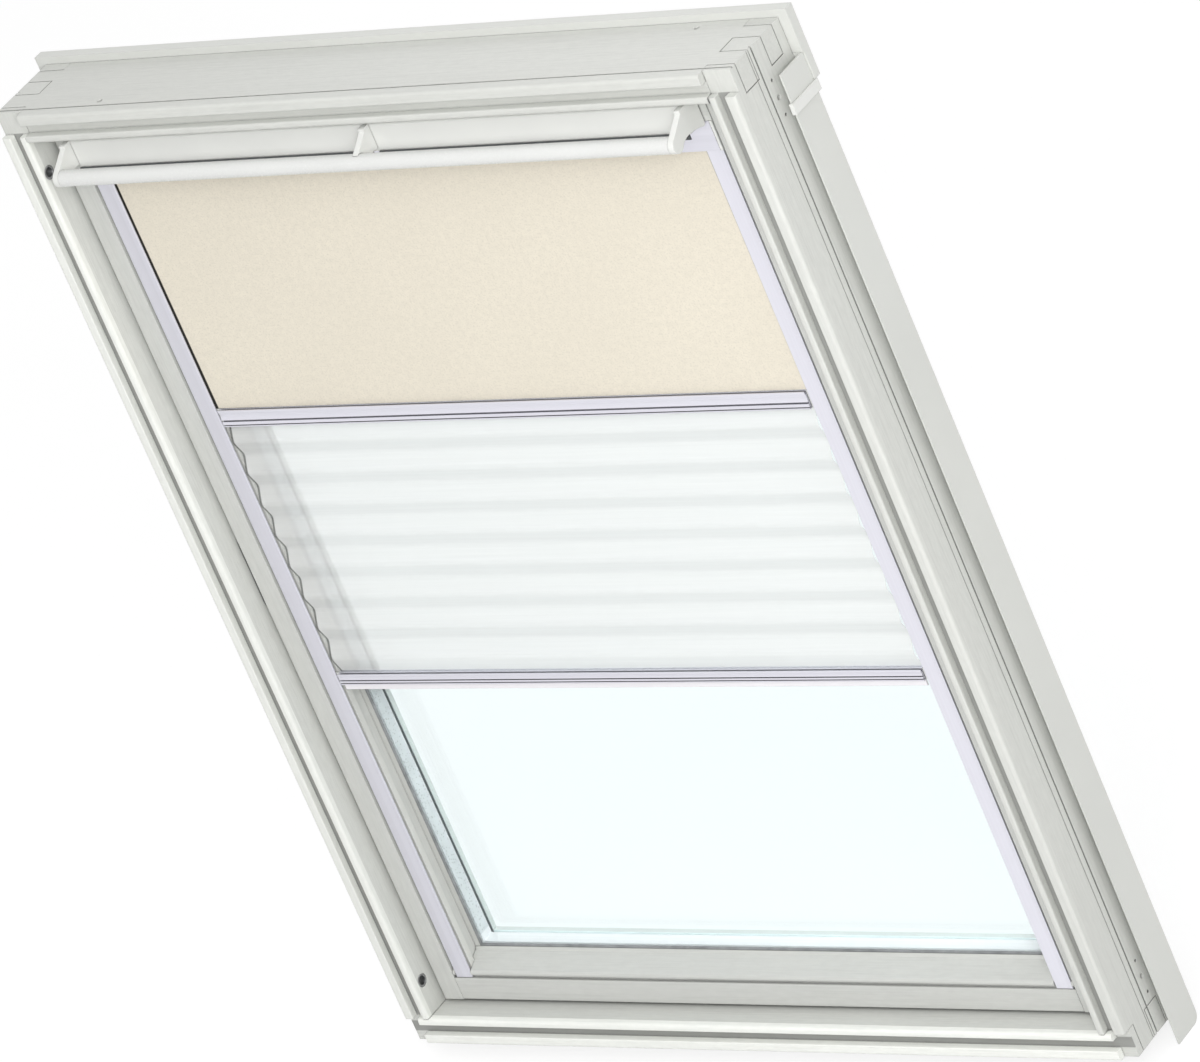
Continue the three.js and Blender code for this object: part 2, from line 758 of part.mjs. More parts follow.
// The flap closes a channel above the sash: a front wall between two flanges, with a hinge knuckle.
function ventFlap() {
  const top = frameHeight - flapTopInset;
  const bottom = frameHeight - flapBottomInset;
  const front = depthAt(flapFrontDepth);
  const back = depthAt(flapBackDepth);
  return alongX([
    [back, top],
    ...arc(front + flapRound, top - flapRound, flapRound, 90, 180),
    ...arc(front + flapRound, bottom + flapRound, flapRound, 180, 270),
    ...arc(hingeY, hingeZ, hinge.radius, 270, 495, 8),
    [front + flapWall, bottom + flapWall + fit],
    [front + flapWall, top - flapWall],
    [back, top - flapWall],
  ], -flapReach, flapReach);
}

const barOpening = [-80, 40]; // the angles between which the grip's section stands open

// A grip of crescent section, open towards the glass.
function barSection(grow) {
  const [from, to] = barOpening.map((angle) => angle * (1 - grow / barWall));
  const outer = arc(barY, barZ, barRadius + grow, to, from + 360, 16);
  const inner = arc(barY, barZ, barRadius - barWall - grow, from + 360, to, 16);
  return [...outer, ...inner];
}

// The outline of a bracket, which carries the grip in front of the flap and is arched for the fingers.
function bracketSection() {
  const bend = (angle) => new THREE.Vector2(
    barY + barRadius * Math.cos(THREE.MathUtils.degToRad(angle)),
    barZ + barRadius * Math.sin(THREE.MathUtils.degToRad(angle)),
  );
  const peak = new THREE.Vector2(depthAt(bracketArch.depth), frameHeight - bracketArch.inset);
  const end = new THREE.Vector2(hingeY, hingeZ - hinge.radius);
  const arch = new THREE.QuadraticBezierCurve(bend(330), peak, end).getPoints(10);
  return [
    ...arch.map((point) => [point.x, point.y]),
    ...arc(hingeY, hingeZ, hinge.radius, 290, 360, 3),
    [depthAt(flapBackDepth), frameHeight - flapTopInset],
    [depthAt(0), frameHeight - flapTopInset],
    [depthAt(0), frameHeight - bracketShoulderInset],
    ...arc(barY, barZ, barRadius, 122, 325, 16),
  ];
}

function endBracket() {
  return alongX(bracketSection(), -flapReach - fit - bracketWidth, -flapReach - fit);
}

// The middle bracket stops at the flap and grips the bar through its open back.
function middleBracket() {
  const reach = bracketWidth / 2;
  return alongX(bracketSection(), -reach, reach)
    .subtract(alongX(barSection(fit), -bracketWidth, bracketWidth))
    .subtract(block([-bracketWidth, bracketWidth], depths(flapFrontDepth - fit, frameDepth), fullZ));
}

// Blind cassette, its ends, the sprung roller and the guide rails

function cassette() {
  const front = cassetteFrontDepth;
  const back = front + cassetteDepth;
  const wall = cassetteWall;
  const halfLength = halfWidth - cassetteInset - cassetteEndThickness - fit;
  const exit = clothDepth + clothThickness + cassetteLip;
  return alongX([
    [depthAt(front), cassetteBottom],
    [depthAt(front), cassetteTop],
    [depthAt(back), cassetteTop],
    [depthAt(back), cassetteBottom],
    [depthAt(exit), cassetteBottom],
    [depthAt(exit), cassetteBottom + wall],
    [depthAt(back - wall), cassetteBottom + wall],
    [depthAt(back - wall), cassetteTop - wall],
    [depthAt(front + wall), cassetteTop - wall],
    [depthAt(front + wall), cassetteBottom],
  ], -halfLength, halfLength);
}

function cassetteEnd() {
  const x = [-halfWidth + cassetteInset, -halfWidth + cassetteInset + cassetteEndThickness];
  const plate = block(x, depths(cassetteFrontDepth, cassetteFrontDepth + cassetteDepth), [cassetteBottom, cassetteTop]);
  return plate.add(rodX(rollerBore - runGap, [x[0] + cassetteEndThickness / 2, x[1] + rollerJournal],
    depthAt(rollerDepth), rollerZ));
}

const rollerHalf = halfWidth - cassetteInset - cassetteEndThickness - slideGap;

function rollerTube() {
  const bore = rodX(rollerBore, [-rollerHalf - overrun, rollerHalf + overrun], depthAt(rollerDepth), rollerZ);
  return rodX(rollerRadius, [-rollerHalf, rollerHalf], depthAt(rollerDepth), rollerZ, 32).subtract(bore);
}

function springUnit() {
  const start = -halfWidth + cassetteInset + cassetteEndThickness + rollerJournal + fit;
  return rodX(springRadius, [start, start + springLength], depthAt(rollerDepth), rollerZ, 16);
}

function guideRail() {
  const inner = guideInset + guideWidth;
  const slotFront = guideFrontDepth + guideLip;
  const section = [
    [guideInset, guideBackDepth],
    [guideInset, guideFrontDepth],
    [inner - guideChamfer, guideFrontDepth],
    [inner, guideFrontDepth + guideChamfer],
    [inner, slotFront],
    [inner - guideSlot.depth, slotFront],
    [inner - guideSlot.depth, slotFront + guideSlot.width],
    [inner, slotFront + guideSlot.width],
    [inner, guideBackDepth],
  ];
  return leftBar(section, sashEdge + bottomFaceWidth + guideEndGap, cassetteBottom - fit);
}

// Cloths, bars and glides

function blackoutCloth() {
  const half = halfWidth - blackoutEdgeInset;
  return block([-half, half], depths(clothDepth - clothThickness / 2, clothDepth + clothThickness / 2),
    [blackoutBarZ + blackoutBar.height + fit, rollerZ]);
}

// The pleats swing to and fro between the two bars, with a soft bend at each fold.
function pleatedCloth() {
  const half = halfWidth - pleatedEdgeInset;
  const top = blackoutBarZ - fit;
  const bottom = pleatBarZ + pleatBar.height + fit;
  const steps = pleatCount * 2 * pleatSteps;
  const face = Array.from({ length: steps + 1 }, (_, i) => {
    const fold = (i / (2 * pleatSteps)) % 1;
    const swing = Math.abs(fold * 2 - 1) * 2 - 1;
    const soft = Math.sin((swing * Math.PI) / 2);
    return [depthAt(clothDepth + pleatSwing * soft) - clothThickness / 2, bottom + ((top - bottom) * i) / steps];
  });
  const back = face.map(([y, z]) => [y + clothThickness, z]).reverse();
  return alongX([...face, ...back], -half, half);
}

// A drawn aluminium bar: a hollow face over two fine grooves, and a trough in front of the cloth above.
function slatSection(bar, z) {
  const front = depthAt(barFrontDepth);
  const back = front + bar.depth;
  const hollowFrom = z + bar.lowerLip + bar.groove;
  const hollowTo = z + bar.height - bar.upperLip;
  const hollow = [1, 2, 3].map((i) => {
    const share = i / 4;
    return [front + bar.sag * Math.sin(Math.PI * share), hollowFrom + (hollowTo - hollowFrom) * share];
  });
  return [
    [back, z],
    [front, z],
    [front, z + bar.foot],
    [front + bar.cut, z + bar.foot],
    [front + bar.cut, z + bar.foot + bar.footGroove],
    [front, z + bar.foot + bar.footGroove],
    [front, z + bar.lowerLip],
    [front + bar.cut, z + bar.lowerLip],
    [front + bar.cut, hollowFrom],
    [front, hollowFrom],
    ...hollow,
    [front, hollowTo],
    [front, z + bar.height],
    [front + barTrough.lip, z + bar.height],
    [front + barTrough.lip, z + bar.height - barTrough.cut],
    [front + barTrough.lip + barTrough.width, z + bar.height - barTrough.cut],
    [front + barTrough.lip + barTrough.width, z + bar.height],
    [back, z + bar.height],
  ];
}

function slat(bar, z) {
  const half = halfWidth - barEndInset;
  return alongX(slatSection(bar, z), -half, half);
}

function glide(bar, z) {
  const slotFront = guideFrontDepth + guideLip;
  const end = -halfWidth + barEndInset - fit;
  return block([end - glideLength, end], depths(slotFront + slideGap, slotFront + guideSlot.width - slideGap), [z, z + bar.height]);
}

// Assembly

// A group in another group, at a place given in the window's own coordinates.
function groupAt(parent, x, y, z) {
  const group = new THREE.Group();
  group.position.copy(parent.worldToLocal(new THREE.Vector3(x, y, z)));
  parent.add(group);
  group.updateWorldMatrix(true, false);
  return group;
}

const object = new THREE.Group();

const frame = groupAt(object, 0, 0, 0);
const sideMember = frameSide();
piece(frame, 'frame_top', frameTop(), finishes.paint);
piece(frame, 'frame_bottom', frameBottom(), finishes.paint);
piece(frame, 'frame_left', cut(sideMember, boltHoleCuts()), finishes.paint);
piece(frame, 'frame_right', mirrored(sideMember), finishes.paint);
piece(frame, 'head_cover', headCover(), finishes.cover);
piece(frame, 'sill_cover', sillCover(), finishes.cover);
for (const [name, solid, material] of [
  ['side_cover', sideCover(), finishes.cover],
  ['cover_clip', headClip(), finishes.cover],
  ['frame_pivot', framePivot(), finishes.steel],
]) {
  piece(frame, `${name}_left`, solid, material);
  piece(frame, `${name}_right`, mirrored(solid), material);
}
piece(frame, 'bolt_bush_upper', bush(ventAngle), finishes.steel);
piece(frame, 'bolt_bush_lower', bush(180), finishes.steel);

const sash = groupAt(object, 0, depthAt(pivotDepth), pivotHeight);
piece(sash, 'sash_top', sashTop(), finishes.paint);
piece(sash, 'sash_bottom', sashBottom(), finishes.paint);
piece(sash, 'sash_left', sashJamb().subtract(boltBore()), finishes.paint);
piece(sash, 'sash_right', mirrored(sashJamb()), finishes.paint);
piece(sash, 'inner_pane', pane(paneDepth), finishes.glass);
piece(sash, 'outer_pane', pane(outerPaneDepth), finishes.glass);
piece(sash, 'pane_spacer', paneSpacer(), finishes.spacer);

const seals = sashSeals();
const sideSeal = leftBar(sealSection(sideSight), bottomSight + fit, frameHeight - topSight - fit);
const sealHalf = halfWidth - sideSight + glazingSeal.width;
piece(sash, 'cladding_top', topBar(claddingSection(topSight), -claddingHalf, claddingHalf), finishes.cover);
piece(sash, 'cladding_bottom', bottomBar(claddingSection(bottomSight), -claddingHalf, claddingHalf), finishes.cover);
piece(sash, 'glazing_seal_top', topBar(sealSection(topSight), -sealHalf, sealHalf), finishes.rubber);
piece(sash, 'glazing_seal_bottom', bottomBar(sealSection(bottomSight), -sealHalf, sealHalf), finishes.rubber);
piece(sash, 'sash_seal_top', seals.top, finishes.rubber);
piece(sash, 'sash_seal_bottom', seals.bottom, finishes.rubber);
for (const [name, solid, material] of [
  ['cladding', sideCladding(), finishes.cover],
  ['glazing_seal', sideSeal, finishes.rubber],
  ['sash_seal', seals.left, finishes.rubber],
  ['sash_pivot', sashPivot(), finishes.steel],
  ['cassette_end', cassetteEnd(), finishes.plastic],
  ['guide_rail', guideRail(), finishes.aluminium],
]) {
  piece(sash, `${name}_left`, solid, material);
  piece(sash, `${name}_right`, mirrored(solid), material);
}
piece(sash, 'blind_cassette', cassette(), finishes.aluminium);
piece(sash, 'spring_unit', springUnit(), finishes.steel);
piece(sash, 'blackout_cloth', blackoutCloth(), finishes.blackout);
piece(sash, 'barrel_bolt', barrelBolt(), finishes.steel);
piece(sash, 'roller_tube', rollerTube(), finishes.aluminium);

const blackout = groupAt(sash, 0, depthAt(clothDepth), blackoutBarZ);
const pleat = groupAt(blackout, 0, depthAt(clothDepth), pleatBarZ);
for (const [group, prefix, bar, z] of [
  [blackout, 'blackout', blackoutBar, blackoutBarZ],
  [pleat, 'pleat', pleatBar, pleatBarZ],
]) {
  piece(group, `${prefix}_bar`, slat(bar, z), finishes.aluminium);
  piece(group, `${prefix}_glide_left`, glide(bar, z), finishes.plastic);
  piece(group, `${prefix}_glide_right`, mirrored(glide(bar, z)), finishes.plastic);
}
piece(blackout, 'pleated_cloth', pleatedCloth(), finishes.pleated);

const controls = groupAt(sash, 0, hingeY, hingeZ);
piece(controls, 'vent_flap', ventFlap(), finishes.plastic);
piece(controls, 'control_bar', alongX(barSection(0), -flapReach, flapReach), finishes.handle);
piece(controls, 'bar_bracket_middle', middleBracket(), finishes.handle);
piece(controls, 'bar_bracket_left', endBracket(), finishes.handle);
piece(controls, 'bar_bracket_right', mirrored(endBracket()), finishes.handle);

export default object;
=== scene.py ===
"""Centre-pivot roof window of white lacquered timber with a blackout and a pleated cloth.

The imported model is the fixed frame. This file gives each of its nodes a finish, makes the
two cloths, the wound roll and the small fixings, and sets the window on a pale floor.
The room is towards -Y, the roof's outside towards +Y, and Z runs up the slope.
"""

import math

import bmesh
import bpy
from mathutils import Matrix, Vector


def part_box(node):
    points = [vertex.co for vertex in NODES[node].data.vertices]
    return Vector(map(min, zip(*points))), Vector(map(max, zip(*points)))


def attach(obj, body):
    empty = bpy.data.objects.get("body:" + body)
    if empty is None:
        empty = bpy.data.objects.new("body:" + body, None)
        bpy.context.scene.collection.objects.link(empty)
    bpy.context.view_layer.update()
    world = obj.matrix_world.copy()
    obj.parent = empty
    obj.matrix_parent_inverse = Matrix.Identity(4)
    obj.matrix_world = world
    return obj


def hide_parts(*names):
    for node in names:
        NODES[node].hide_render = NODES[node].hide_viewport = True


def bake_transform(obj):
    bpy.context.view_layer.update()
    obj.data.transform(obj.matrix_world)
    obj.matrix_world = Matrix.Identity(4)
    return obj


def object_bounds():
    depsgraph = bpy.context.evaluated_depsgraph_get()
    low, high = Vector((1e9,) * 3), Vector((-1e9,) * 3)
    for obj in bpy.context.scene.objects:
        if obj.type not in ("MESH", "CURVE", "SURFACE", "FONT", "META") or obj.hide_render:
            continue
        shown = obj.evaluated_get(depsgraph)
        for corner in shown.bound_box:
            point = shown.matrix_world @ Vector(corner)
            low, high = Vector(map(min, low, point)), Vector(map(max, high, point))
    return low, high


bl_info = {
    "name": "Skylight Window Blind",
    "version": (1, 0, 0),
    "blender": (4, 5, 0),
    "location": "3D View > Sidebar > Skylight",
    "description": "Finishes, cloths, fixings and stage of a roof window with two blinds",
    "category": "Object",
}

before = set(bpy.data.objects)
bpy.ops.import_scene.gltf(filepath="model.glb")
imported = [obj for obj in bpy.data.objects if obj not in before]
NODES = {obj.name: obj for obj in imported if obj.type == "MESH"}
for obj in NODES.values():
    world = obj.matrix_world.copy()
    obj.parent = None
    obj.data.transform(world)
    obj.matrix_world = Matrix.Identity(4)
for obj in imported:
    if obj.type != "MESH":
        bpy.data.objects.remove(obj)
CAD_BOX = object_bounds()

TURN = 2 * math.pi
ACROSS = "X"
UPRIGHT = "Z"

# Nodes by finish

SASH_ACROSS = ("sash_top", "sash_bottom")
SASH_UPRIGHT = ("sash_left", "sash_right")
COVERS_ACROSS = ("head_cover", "sill_cover")
COVERS_UPRIGHT = ("side_cover_left", "side_cover_right")
CLADDING = ("cladding_top", "cladding_bottom", "cladding_left", "cladding_right")
MOULDINGS = (
    "vent_flap",
    "bar_bracket_left",
    "bar_bracket_middle",
    "bar_bracket_right",
    "cassette_end_left",
    "cassette_end_right",
    "cover_clip_left",
    "cover_clip_right",
    "blackout_glide_left",
    "blackout_glide_right",
    "pleat_glide_left",
    "pleat_glide_right",
)
EXTRUSIONS_ACROSS = ("blind_cassette", "blackout_bar", "pleat_bar")
HARDWARE = (
    "frame_pivot_left",
    "frame_pivot_right",
    "sash_pivot_left",
    "sash_pivot_right",
    "bolt_bush_upper",
    "bolt_bush_lower",
    "barrel_bolt",
    "spring_unit",
)
PANES = ("inner_pane", "outer_pane")
GLAZING_SEALS = (
    "glazing_seal_top",
    "glazing_seal_bottom",
    "glazing_seal_left",
    "glazing_seal_right",
)
SASH_SEALS = ("sash_seal_top", "sash_seal_bottom", "sash_seal_left", "sash_seal_right")

# Where finishes meet on a section, in metres

EASE = 0.0004  # width over which one finish turns into the next
CLOTH_EASE = 0.0005
GROOVE_START, GROOVE_END = 0.0095, 0.0206  # lining groove, from the frame's outer edge
GROOVE_FLOOR = 0.0066  # depth of the groove's floor, with its painted shade, from the room face
GROOVE_SHADE_REACH = 0.002  # how much deeper than that the painted shade goes
BEDDING_WIDTH = 0.0028  # sealant on the side cladding, from its inner edge
RAIL_LIP_THICKNESS = 0.0015  # front of a guide rail, before its slot with painted light
SPACER_FOOT = 0.014  # height of the lower spacer with a painted reflection of the light sky
PAINTED_SHADE_REACH = 0.0035  # width of a gap or corner that painted shade darkens

# Tones and colours of single places, most of them painted light, shade or reflection

# painted light: the lips before the groove are paler, each upright and the bottom by its own amount
LIP_PAINTED_LIGHT = {"frame_left": 1.28, "frame_right": 1.04, "frame_bottom": 1.4}
# painted shade on the lining groove's floor
GROOVE_SHADE_TONE = 0.5
# painted light: the lip ends above the groove's top are paler
CORNER_BLOCK_PAINTED_LIGHT = 1.2
# painted light and shade: the left guide rail is a shaded copy of the aluminium, the right one a
# lit copy
RAIL_LIGHT_AND_SHADE = {"guide_rail_left": 0.93, "guide_rail_right": 1.05}
# painted light: a pale matt tone in a guide rail's shaded slot
SLOT_PAINTED_LIGHT = (0.62, 0.62, 0.59, 1)
# painted reflection of the light sky on the lower spacer
SPACER_FOOT_PAINTED_REFLECTION = (0.74, 0.73, 0.74, 1)
WHITE = (1, 1, 1, 1)

# Small pieces, in metres

LIP_GAP = 0.0001  # between a lip and what it is fixed to
TUBE_WALL = 0.0009
ROLL_THICKNESS = 0.0012  # cloth on the roller's tube
ROLL_TURNS = 2.5
FINE_SIDES = 48  # flat sides of a full turn

# Camera, from the way the window stands in the picture

CAMERA_PLACE = (4.6395, -4.9026, 3.7756)
CAMERA_RIGHT = (0.78699, 0.50219, -0.35839)
CAMERA_UP = (0.01617, 0.56390, 0.82569)
CAMERA_BACK = (0.61674, -0.65561, 0.43567)
CAMERA_LENS = 266.27
CAMERA_SENSOR = 36.0

# Lamps, from the window's middle

HIGH_LAMP_FROM = (0.6, -1.6, 3.0)
FRONT_LAMP_FROM = (2.2, -2.35, 1.55)
BACK_LAMP_FROM = (-1.6, 2.8, 1.6)


# Shading


class Shading:
    """The node tree of a finish or of the sky."""

    def __init__(self, tree):
        self.tree = tree

    def feed(self, socket, value):
        """Links another node's output to a socket, or sets the socket's own value."""
        if isinstance(value, bpy.types.NodeSocket):
            self.tree.links.new(value, socket)
        else:
            socket.default_value = value

    def node(self, kind, settings=None, **inputs):
        """A new shader node, with its settings and inputs."""
        made = self.tree.nodes.new("ShaderNode" + kind)
        for name, value in (settings or {}).items():
            setattr(made, name, value)
        for name, value in inputs.items():
            self.feed(made.inputs[name.replace("_", " ")], value)
        return made

    def reckon(self, operation, *values):
        """One step of arithmetic."""
        made = self.node("Math", {"operation": operation})
        for socket, value in zip(made.inputs, values):
            self.feed(socket, value)
        return made.outputs[0]

    def spread(self, value, low, high, start=0.3, end=0.7):
        """A value between start and end, spread between low and high."""
        span = {"From_Min": start, "From_Max": end, "To_Min": low, "To_Max": high}
        return self.node("MapRange", Value=value, **span).outputs["Result"]

    def seen(self):
        """1 for rays from the camera and for those that gloss or glass sends on, else 0."""
        path = self.node("LightPath").outputs
        direct = self.reckon("MAXIMUM", path["Is Camera Ray"], path["Is Glossy Ray"])
        return self.reckon("MAXIMUM", direct, path["Is Transmission Ray"])


class Finish(Shading):
    """One material, with its main shader at hand."""

    def __init__(self, name):
        self.material = bpy.data.materials.new(name)
        self.material.use_nodes = True
        super().__init__(self.material.node_tree)
        self.shader = self.tree.nodes["Principled BSDF"]

    def surface(self, **inputs):
        """Sets inputs of the main shader."""
        for name, value in inputs.items():
            self.feed(self.shader.inputs[name.replace("_", " ")], value)

    def show(self, shader):
        """Takes another shader than the main one for the surface."""
        self.feed(self.tree.nodes["Material Output"].inputs["Surface"], shader)

    def mixed(self, share, first, second):
        """A shader between two others."""
        made = self.node("MixShader")
        for socket, value in zip(made.inputs, (share, first, second)):
            self.feed(socket, value)
        return made.outputs["Shader"]

    def place(self, scale, cloth=False):
        """Coordinates in metres times a scale for each axis: the cloth's own, or the window's."""
        source = self.node("TexCoord").outputs["UV" if cloth else "Object"]
        return self.node("Mapping", Vector=source, Scale=scale).outputs["Vector"]

    def noise(self, scale, detail=3.0, roughness=0.5, cloth=False):
        """Value noise, from 0 to 1, with a scale for each axis."""
        settings = {"Scale": 1.0, "Detail": detail, "Roughness": roughness}
        made = self.node("TexNoise", Vector=self.place(scale, cloth), **settings)
        return made.outputs["Fac"]

    def tones(self, share, first, second, blend_type="MIX"):
        """A colour between two tones."""
        made = self.node("Mix", {"data_type": "RGBA", "blend_type": blend_type})
        for index, value in ((0, share), (6, first), (7, second)):
            self.feed(made.inputs[index], value)
        return made.outputs[2]

    def varied(self, noise, colour, low, high):
        """A colour times a factor that noise moves between low and high."""
        return self.tones(self.spread(noise, 0, 1), tone(colour, low), tone(colour, high))

    def marked(self, body, noise, share, mark, start=0.3, end=0.7):
        """A colour with a share of another over it, wherever noise is past start."""
        return self.tones(self.spread(noise, 0, share, start, end), body, mark)

    def shaded(self, colour, share, factor):
        """A colour, times a factor where the share is 1."""
        return self.tones(share, colour, (factor, factor, factor, 1), "MULTIPLY")

    def with_painted_shade(self, clean, shade_tone, most=1.0):
        """A colour that turns to painted shade in narrow gaps and inner corners."""
        made = self.node("AmbientOcclusion", {"samples": 4}, Distance=PAINTED_SHADE_REACH)
        share = self.spread(made.outputs["AO"], most, 0.0, 0.2, 0.66)
        return self.tones(share, clean, shade_tone)

    def eased(self, radius, samples=6):
        """(normal with edges eased to a radius, mask that is 1 on those edges)."""
        bevel = self.node("Bevel", {"samples": samples}, Radius=radius).outputs["Normal"]
        made = self.node("VectorMath", {"operation": "DOT_PRODUCT"})
        self.feed(made.inputs[0], bevel)
        self.feed(made.inputs[1], self.node("NewGeometry").outputs["Normal"])
        return bevel, self.spread(made.outputs["Value"], 1.0, 0.0, 0.9, 0.995)

    def band(self, axis, start, over=EASE, cloth=False, both_sides=False):
        """1 past a place on an axis, 0 before it, and both sides of the middle alike if asked.

        It turns from 0 to 1 over a width, which is negative where past means below.
        """
        split = self.node("SeparateXYZ", Vector=self.place((1, 1, 1), cloth))
        value = split.outputs[axis]
        if both_sides:
            value = self.reckon("ABSOLUTE", value)
        return self.spread(value, 0, 1, start, start + over)

    def relief(self, height, depth, strength, normal=None):
        """A bump of a depth in metres, over another normal if one is given."""
        made = self.node("Bump", Height=height, Distance=depth, Strength=strength)
        if normal is not None:
            self.feed(made.inputs["Normal"], normal)
        self.surface(Normal=made.outputs["Normal"])


def tone(colour, factor=1.0):
    """A colour times a factor, as the four numbers that a socket takes."""
    return (*(min(1.0, channel * factor) for channel in colour), 1.0)


def along(axis, length, width):
    """The scale for streaks of a length and width in metres that run along an axis."""
    return [1 / length if name == axis else 1 / width for name in "XYZ"]


def dress(names, material):
    """Puts one material on every slot of some nodes."""
    for name in names:
        for slot in NODES[name].material_slots:
            slot.material = material


def lacquered_timber(name, colour, axis, groove=None):
    """White lacquer on planed timber: the grain just shows, and painted shade darkens the inner
    corners.

    Groove is (axis, start, end, depth, lip, top): where the lining's groove lies, how deep its
    floor with painted shade is, how much paler painted light makes the lips before it, and where
    the groove stops.
    """
    finish = Finish(name)
    pores = finish.noise(along(axis, 0.07, 0.0016), 4.0)
    flecks = finish.noise(along(axis, 0.012, 0.003), 3.0)
    boards = finish.noise(along(axis, 0.6, 0.05), 2.0)
    spray = finish.noise((420, 420, 420), 3.0)
    normal, edge = finish.eased(0.0011)
    body = finish.varied(boards, colour, 0.965, 1.015)
    mottled = finish.marked(body, flecks, 0.6, tone(colour, 0.9))
    grained = finish.marked(mottled, pores, 0.55, tone(colour, 0.83), 0.5, 0.75)
    # paler edges: partly wear, partly painted highlight
    wear_and_painted_light = finish.marked(grained, edge, 0.5, tone(colour, 1.16), 0, 1)
    if groove is not None:
        across, start, end, depth, lip, top = groove
        sides = across == "X"
        # painted shade on the lining groove's floor
        groove_shade_mask = finish.band(across, start, both_sides=sides)
        for limit in (
            finish.band(across, end + EASE, -EASE, both_sides=sides),
            finish.band("Y", depth),
            finish.band("Y", depth + GROOVE_SHADE_REACH, -EASE),
            finish.band("Z", top, -EASE),
        ):
            groove_shade_mask = finish.reckon("MULTIPLY", groove_shade_mask, limit)
        wear_and_painted_light = finish.shaded(wear_and_painted_light, groove_shade_mask, GROOVE_SHADE_TONE)
        # painted light on the lips before the groove
        lips = finish.band("Y", depth + EASE, -EASE)
        wear_and_painted_light = finish.shaded(wear_and_painted_light, lips, lip)
        # painted light on the lip ends above the groove's top
        corner_block_light = finish.reckon("MULTIPLY", lips, finish.band("Z", top))
        wear_and_painted_light = finish.shaded(wear_and_painted_light, corner_block_light, CORNER_BLOCK_PAINTED_LIGHT)
    finish.surface(
        # painted shade: darker in narrow gaps and inner corners
        Base_Color=finish.with_painted_shade(wear_and_painted_light, tone(colour, 0.3)),
        Roughness=finish.spread(spray, 0.34, 0.46),
        Specular_IOR_Level=0.4,
    )
    finish.relief(finish.reckon("MULTIPLY_ADD", pores, 1.6, spray), 0.00022, 0.6, normal)
    return finish.material


def powder_coat(name, colour, axis, bedding=None, pane_side=0.0, strip=None):
    """Powder coat on folded sheet: a fine orange peel, with faint lines along the fold.

    Bedding is the colour of what seals the side towards the pane; strip is (edge, colour) of
    what lies further from the middle than an edge.
    """
    finish = Finish(name)
    peel = finish.noise((650, 650, 650), 2.0)
    drawn = finish.noise(along(axis, 0.5, 0.004), 2.0)
    clouds = finish.noise((7, 7, 7), 3.0)
    normal, edge = finish.eased(0.0007)
    body = finish.varied(clouds, colour, 0.965, 1.015)
    # paler edges: partly wear, partly painted highlight
    wear_and_painted_light = finish.marked(body, edge, 0.45, tone(colour, 1.08), 0, 1)
    if bedding is not None:
        sealed = tone(bedding)
        if strip is not None:
            beyond = finish.band("X", strip[0], both_sides=True)
            sealed = finish.tones(beyond, sealed, tone(strip[1]))
        wear_and_painted_light = finish.tones(finish.band("Y", pane_side + EASE, EASE / 2), sealed, wear_and_painted_light)
    finish.surface(Base_Color=wear_and_painted_light, Roughness=finish.spread(peel, 0.4, 0.52))
    finish.relief(finish.reckon("MULTIPLY_ADD", drawn, 0.7, peel), 0.00012, 0.45, normal)
    return finish.material


def moulded_plastic(name, colour, gloss):
    """Moulded plastic: a fine spark-eroded skin and soft edges."""
    finish = Finish(name)
    skin = finish.noise((1500, 1500, 1500), 2.0)
    clouds = finish.noise((18, 18, 18), 2.0)
    normal, edge = finish.eased(0.0008, 8)
    body = finish.varied(clouds, colour, 0.98, 1.01)
    # paler edges: partly wear, partly painted highlight
    wear_and_painted_light = finish.marked(body, edge, 0.4, tone(colour, 1.05), 0, 1)
    finish.surface(
        # painted shade: darker in narrow gaps and inner corners
        Base_Color=finish.with_painted_shade(wear_and_painted_light, tone(colour, 0.4), 0.7),
        Roughness=finish.spread(skin, gloss, gloss + 0.08),
    )
    finish.relief(skin, 0.00005, 0.4, normal)
    return finish.material


def drawn_aluminium(name, colour, axis, slot_start=None):
    """Pale anodised aluminium with die lines along the section, and painted light in its slot: a
    pale matt tone where the slot is in shade.
    """
    finish = Finish(name)
    lines = finish.noise(along(axis, 1.5, 0.0007), 3.0)
    bands = finish.noise(along(axis, 2.0, 0.006), 2.0)
    normal, edge = finish.eased(0.0004)
    body = finish.varied(bands, colour, 0.94, 1.03)
    # paler edges: partly wear, partly painted highlight
    wear_and_painted_light = finish.marked(body, edge, 0.6, tone(colour, 1.25), 0, 1)
    metal = 0.75
    if slot_start is None:
        # painted shade: darker in narrow gaps and inner corners
        wear_and_painted_light = finish.with_painted_shade(wear_and_painted_light, tone(colour, 0.3))
    else:
        # painted light in the slot behind the rail's front
        slot_light_mask = finish.band("Y", slot_start, EASE / 2)
        wear_and_painted_light = finish.tones(slot_light_mask, wear_and_painted_light, SLOT_PAINTED_LIGHT)
        metal = finish.spread(slot_light_mask, metal, 0.0, 0, 1)
    finish.surface(
        Base_Color=wear_and_painted_light,
        Metallic=metal,
        Roughness=finish.spread(lines, 0.34, 0.46),
        Anisotropic=0.4,
    )
    finish.relief(lines, 0.00004, 0.35, normal)
    return finish.material


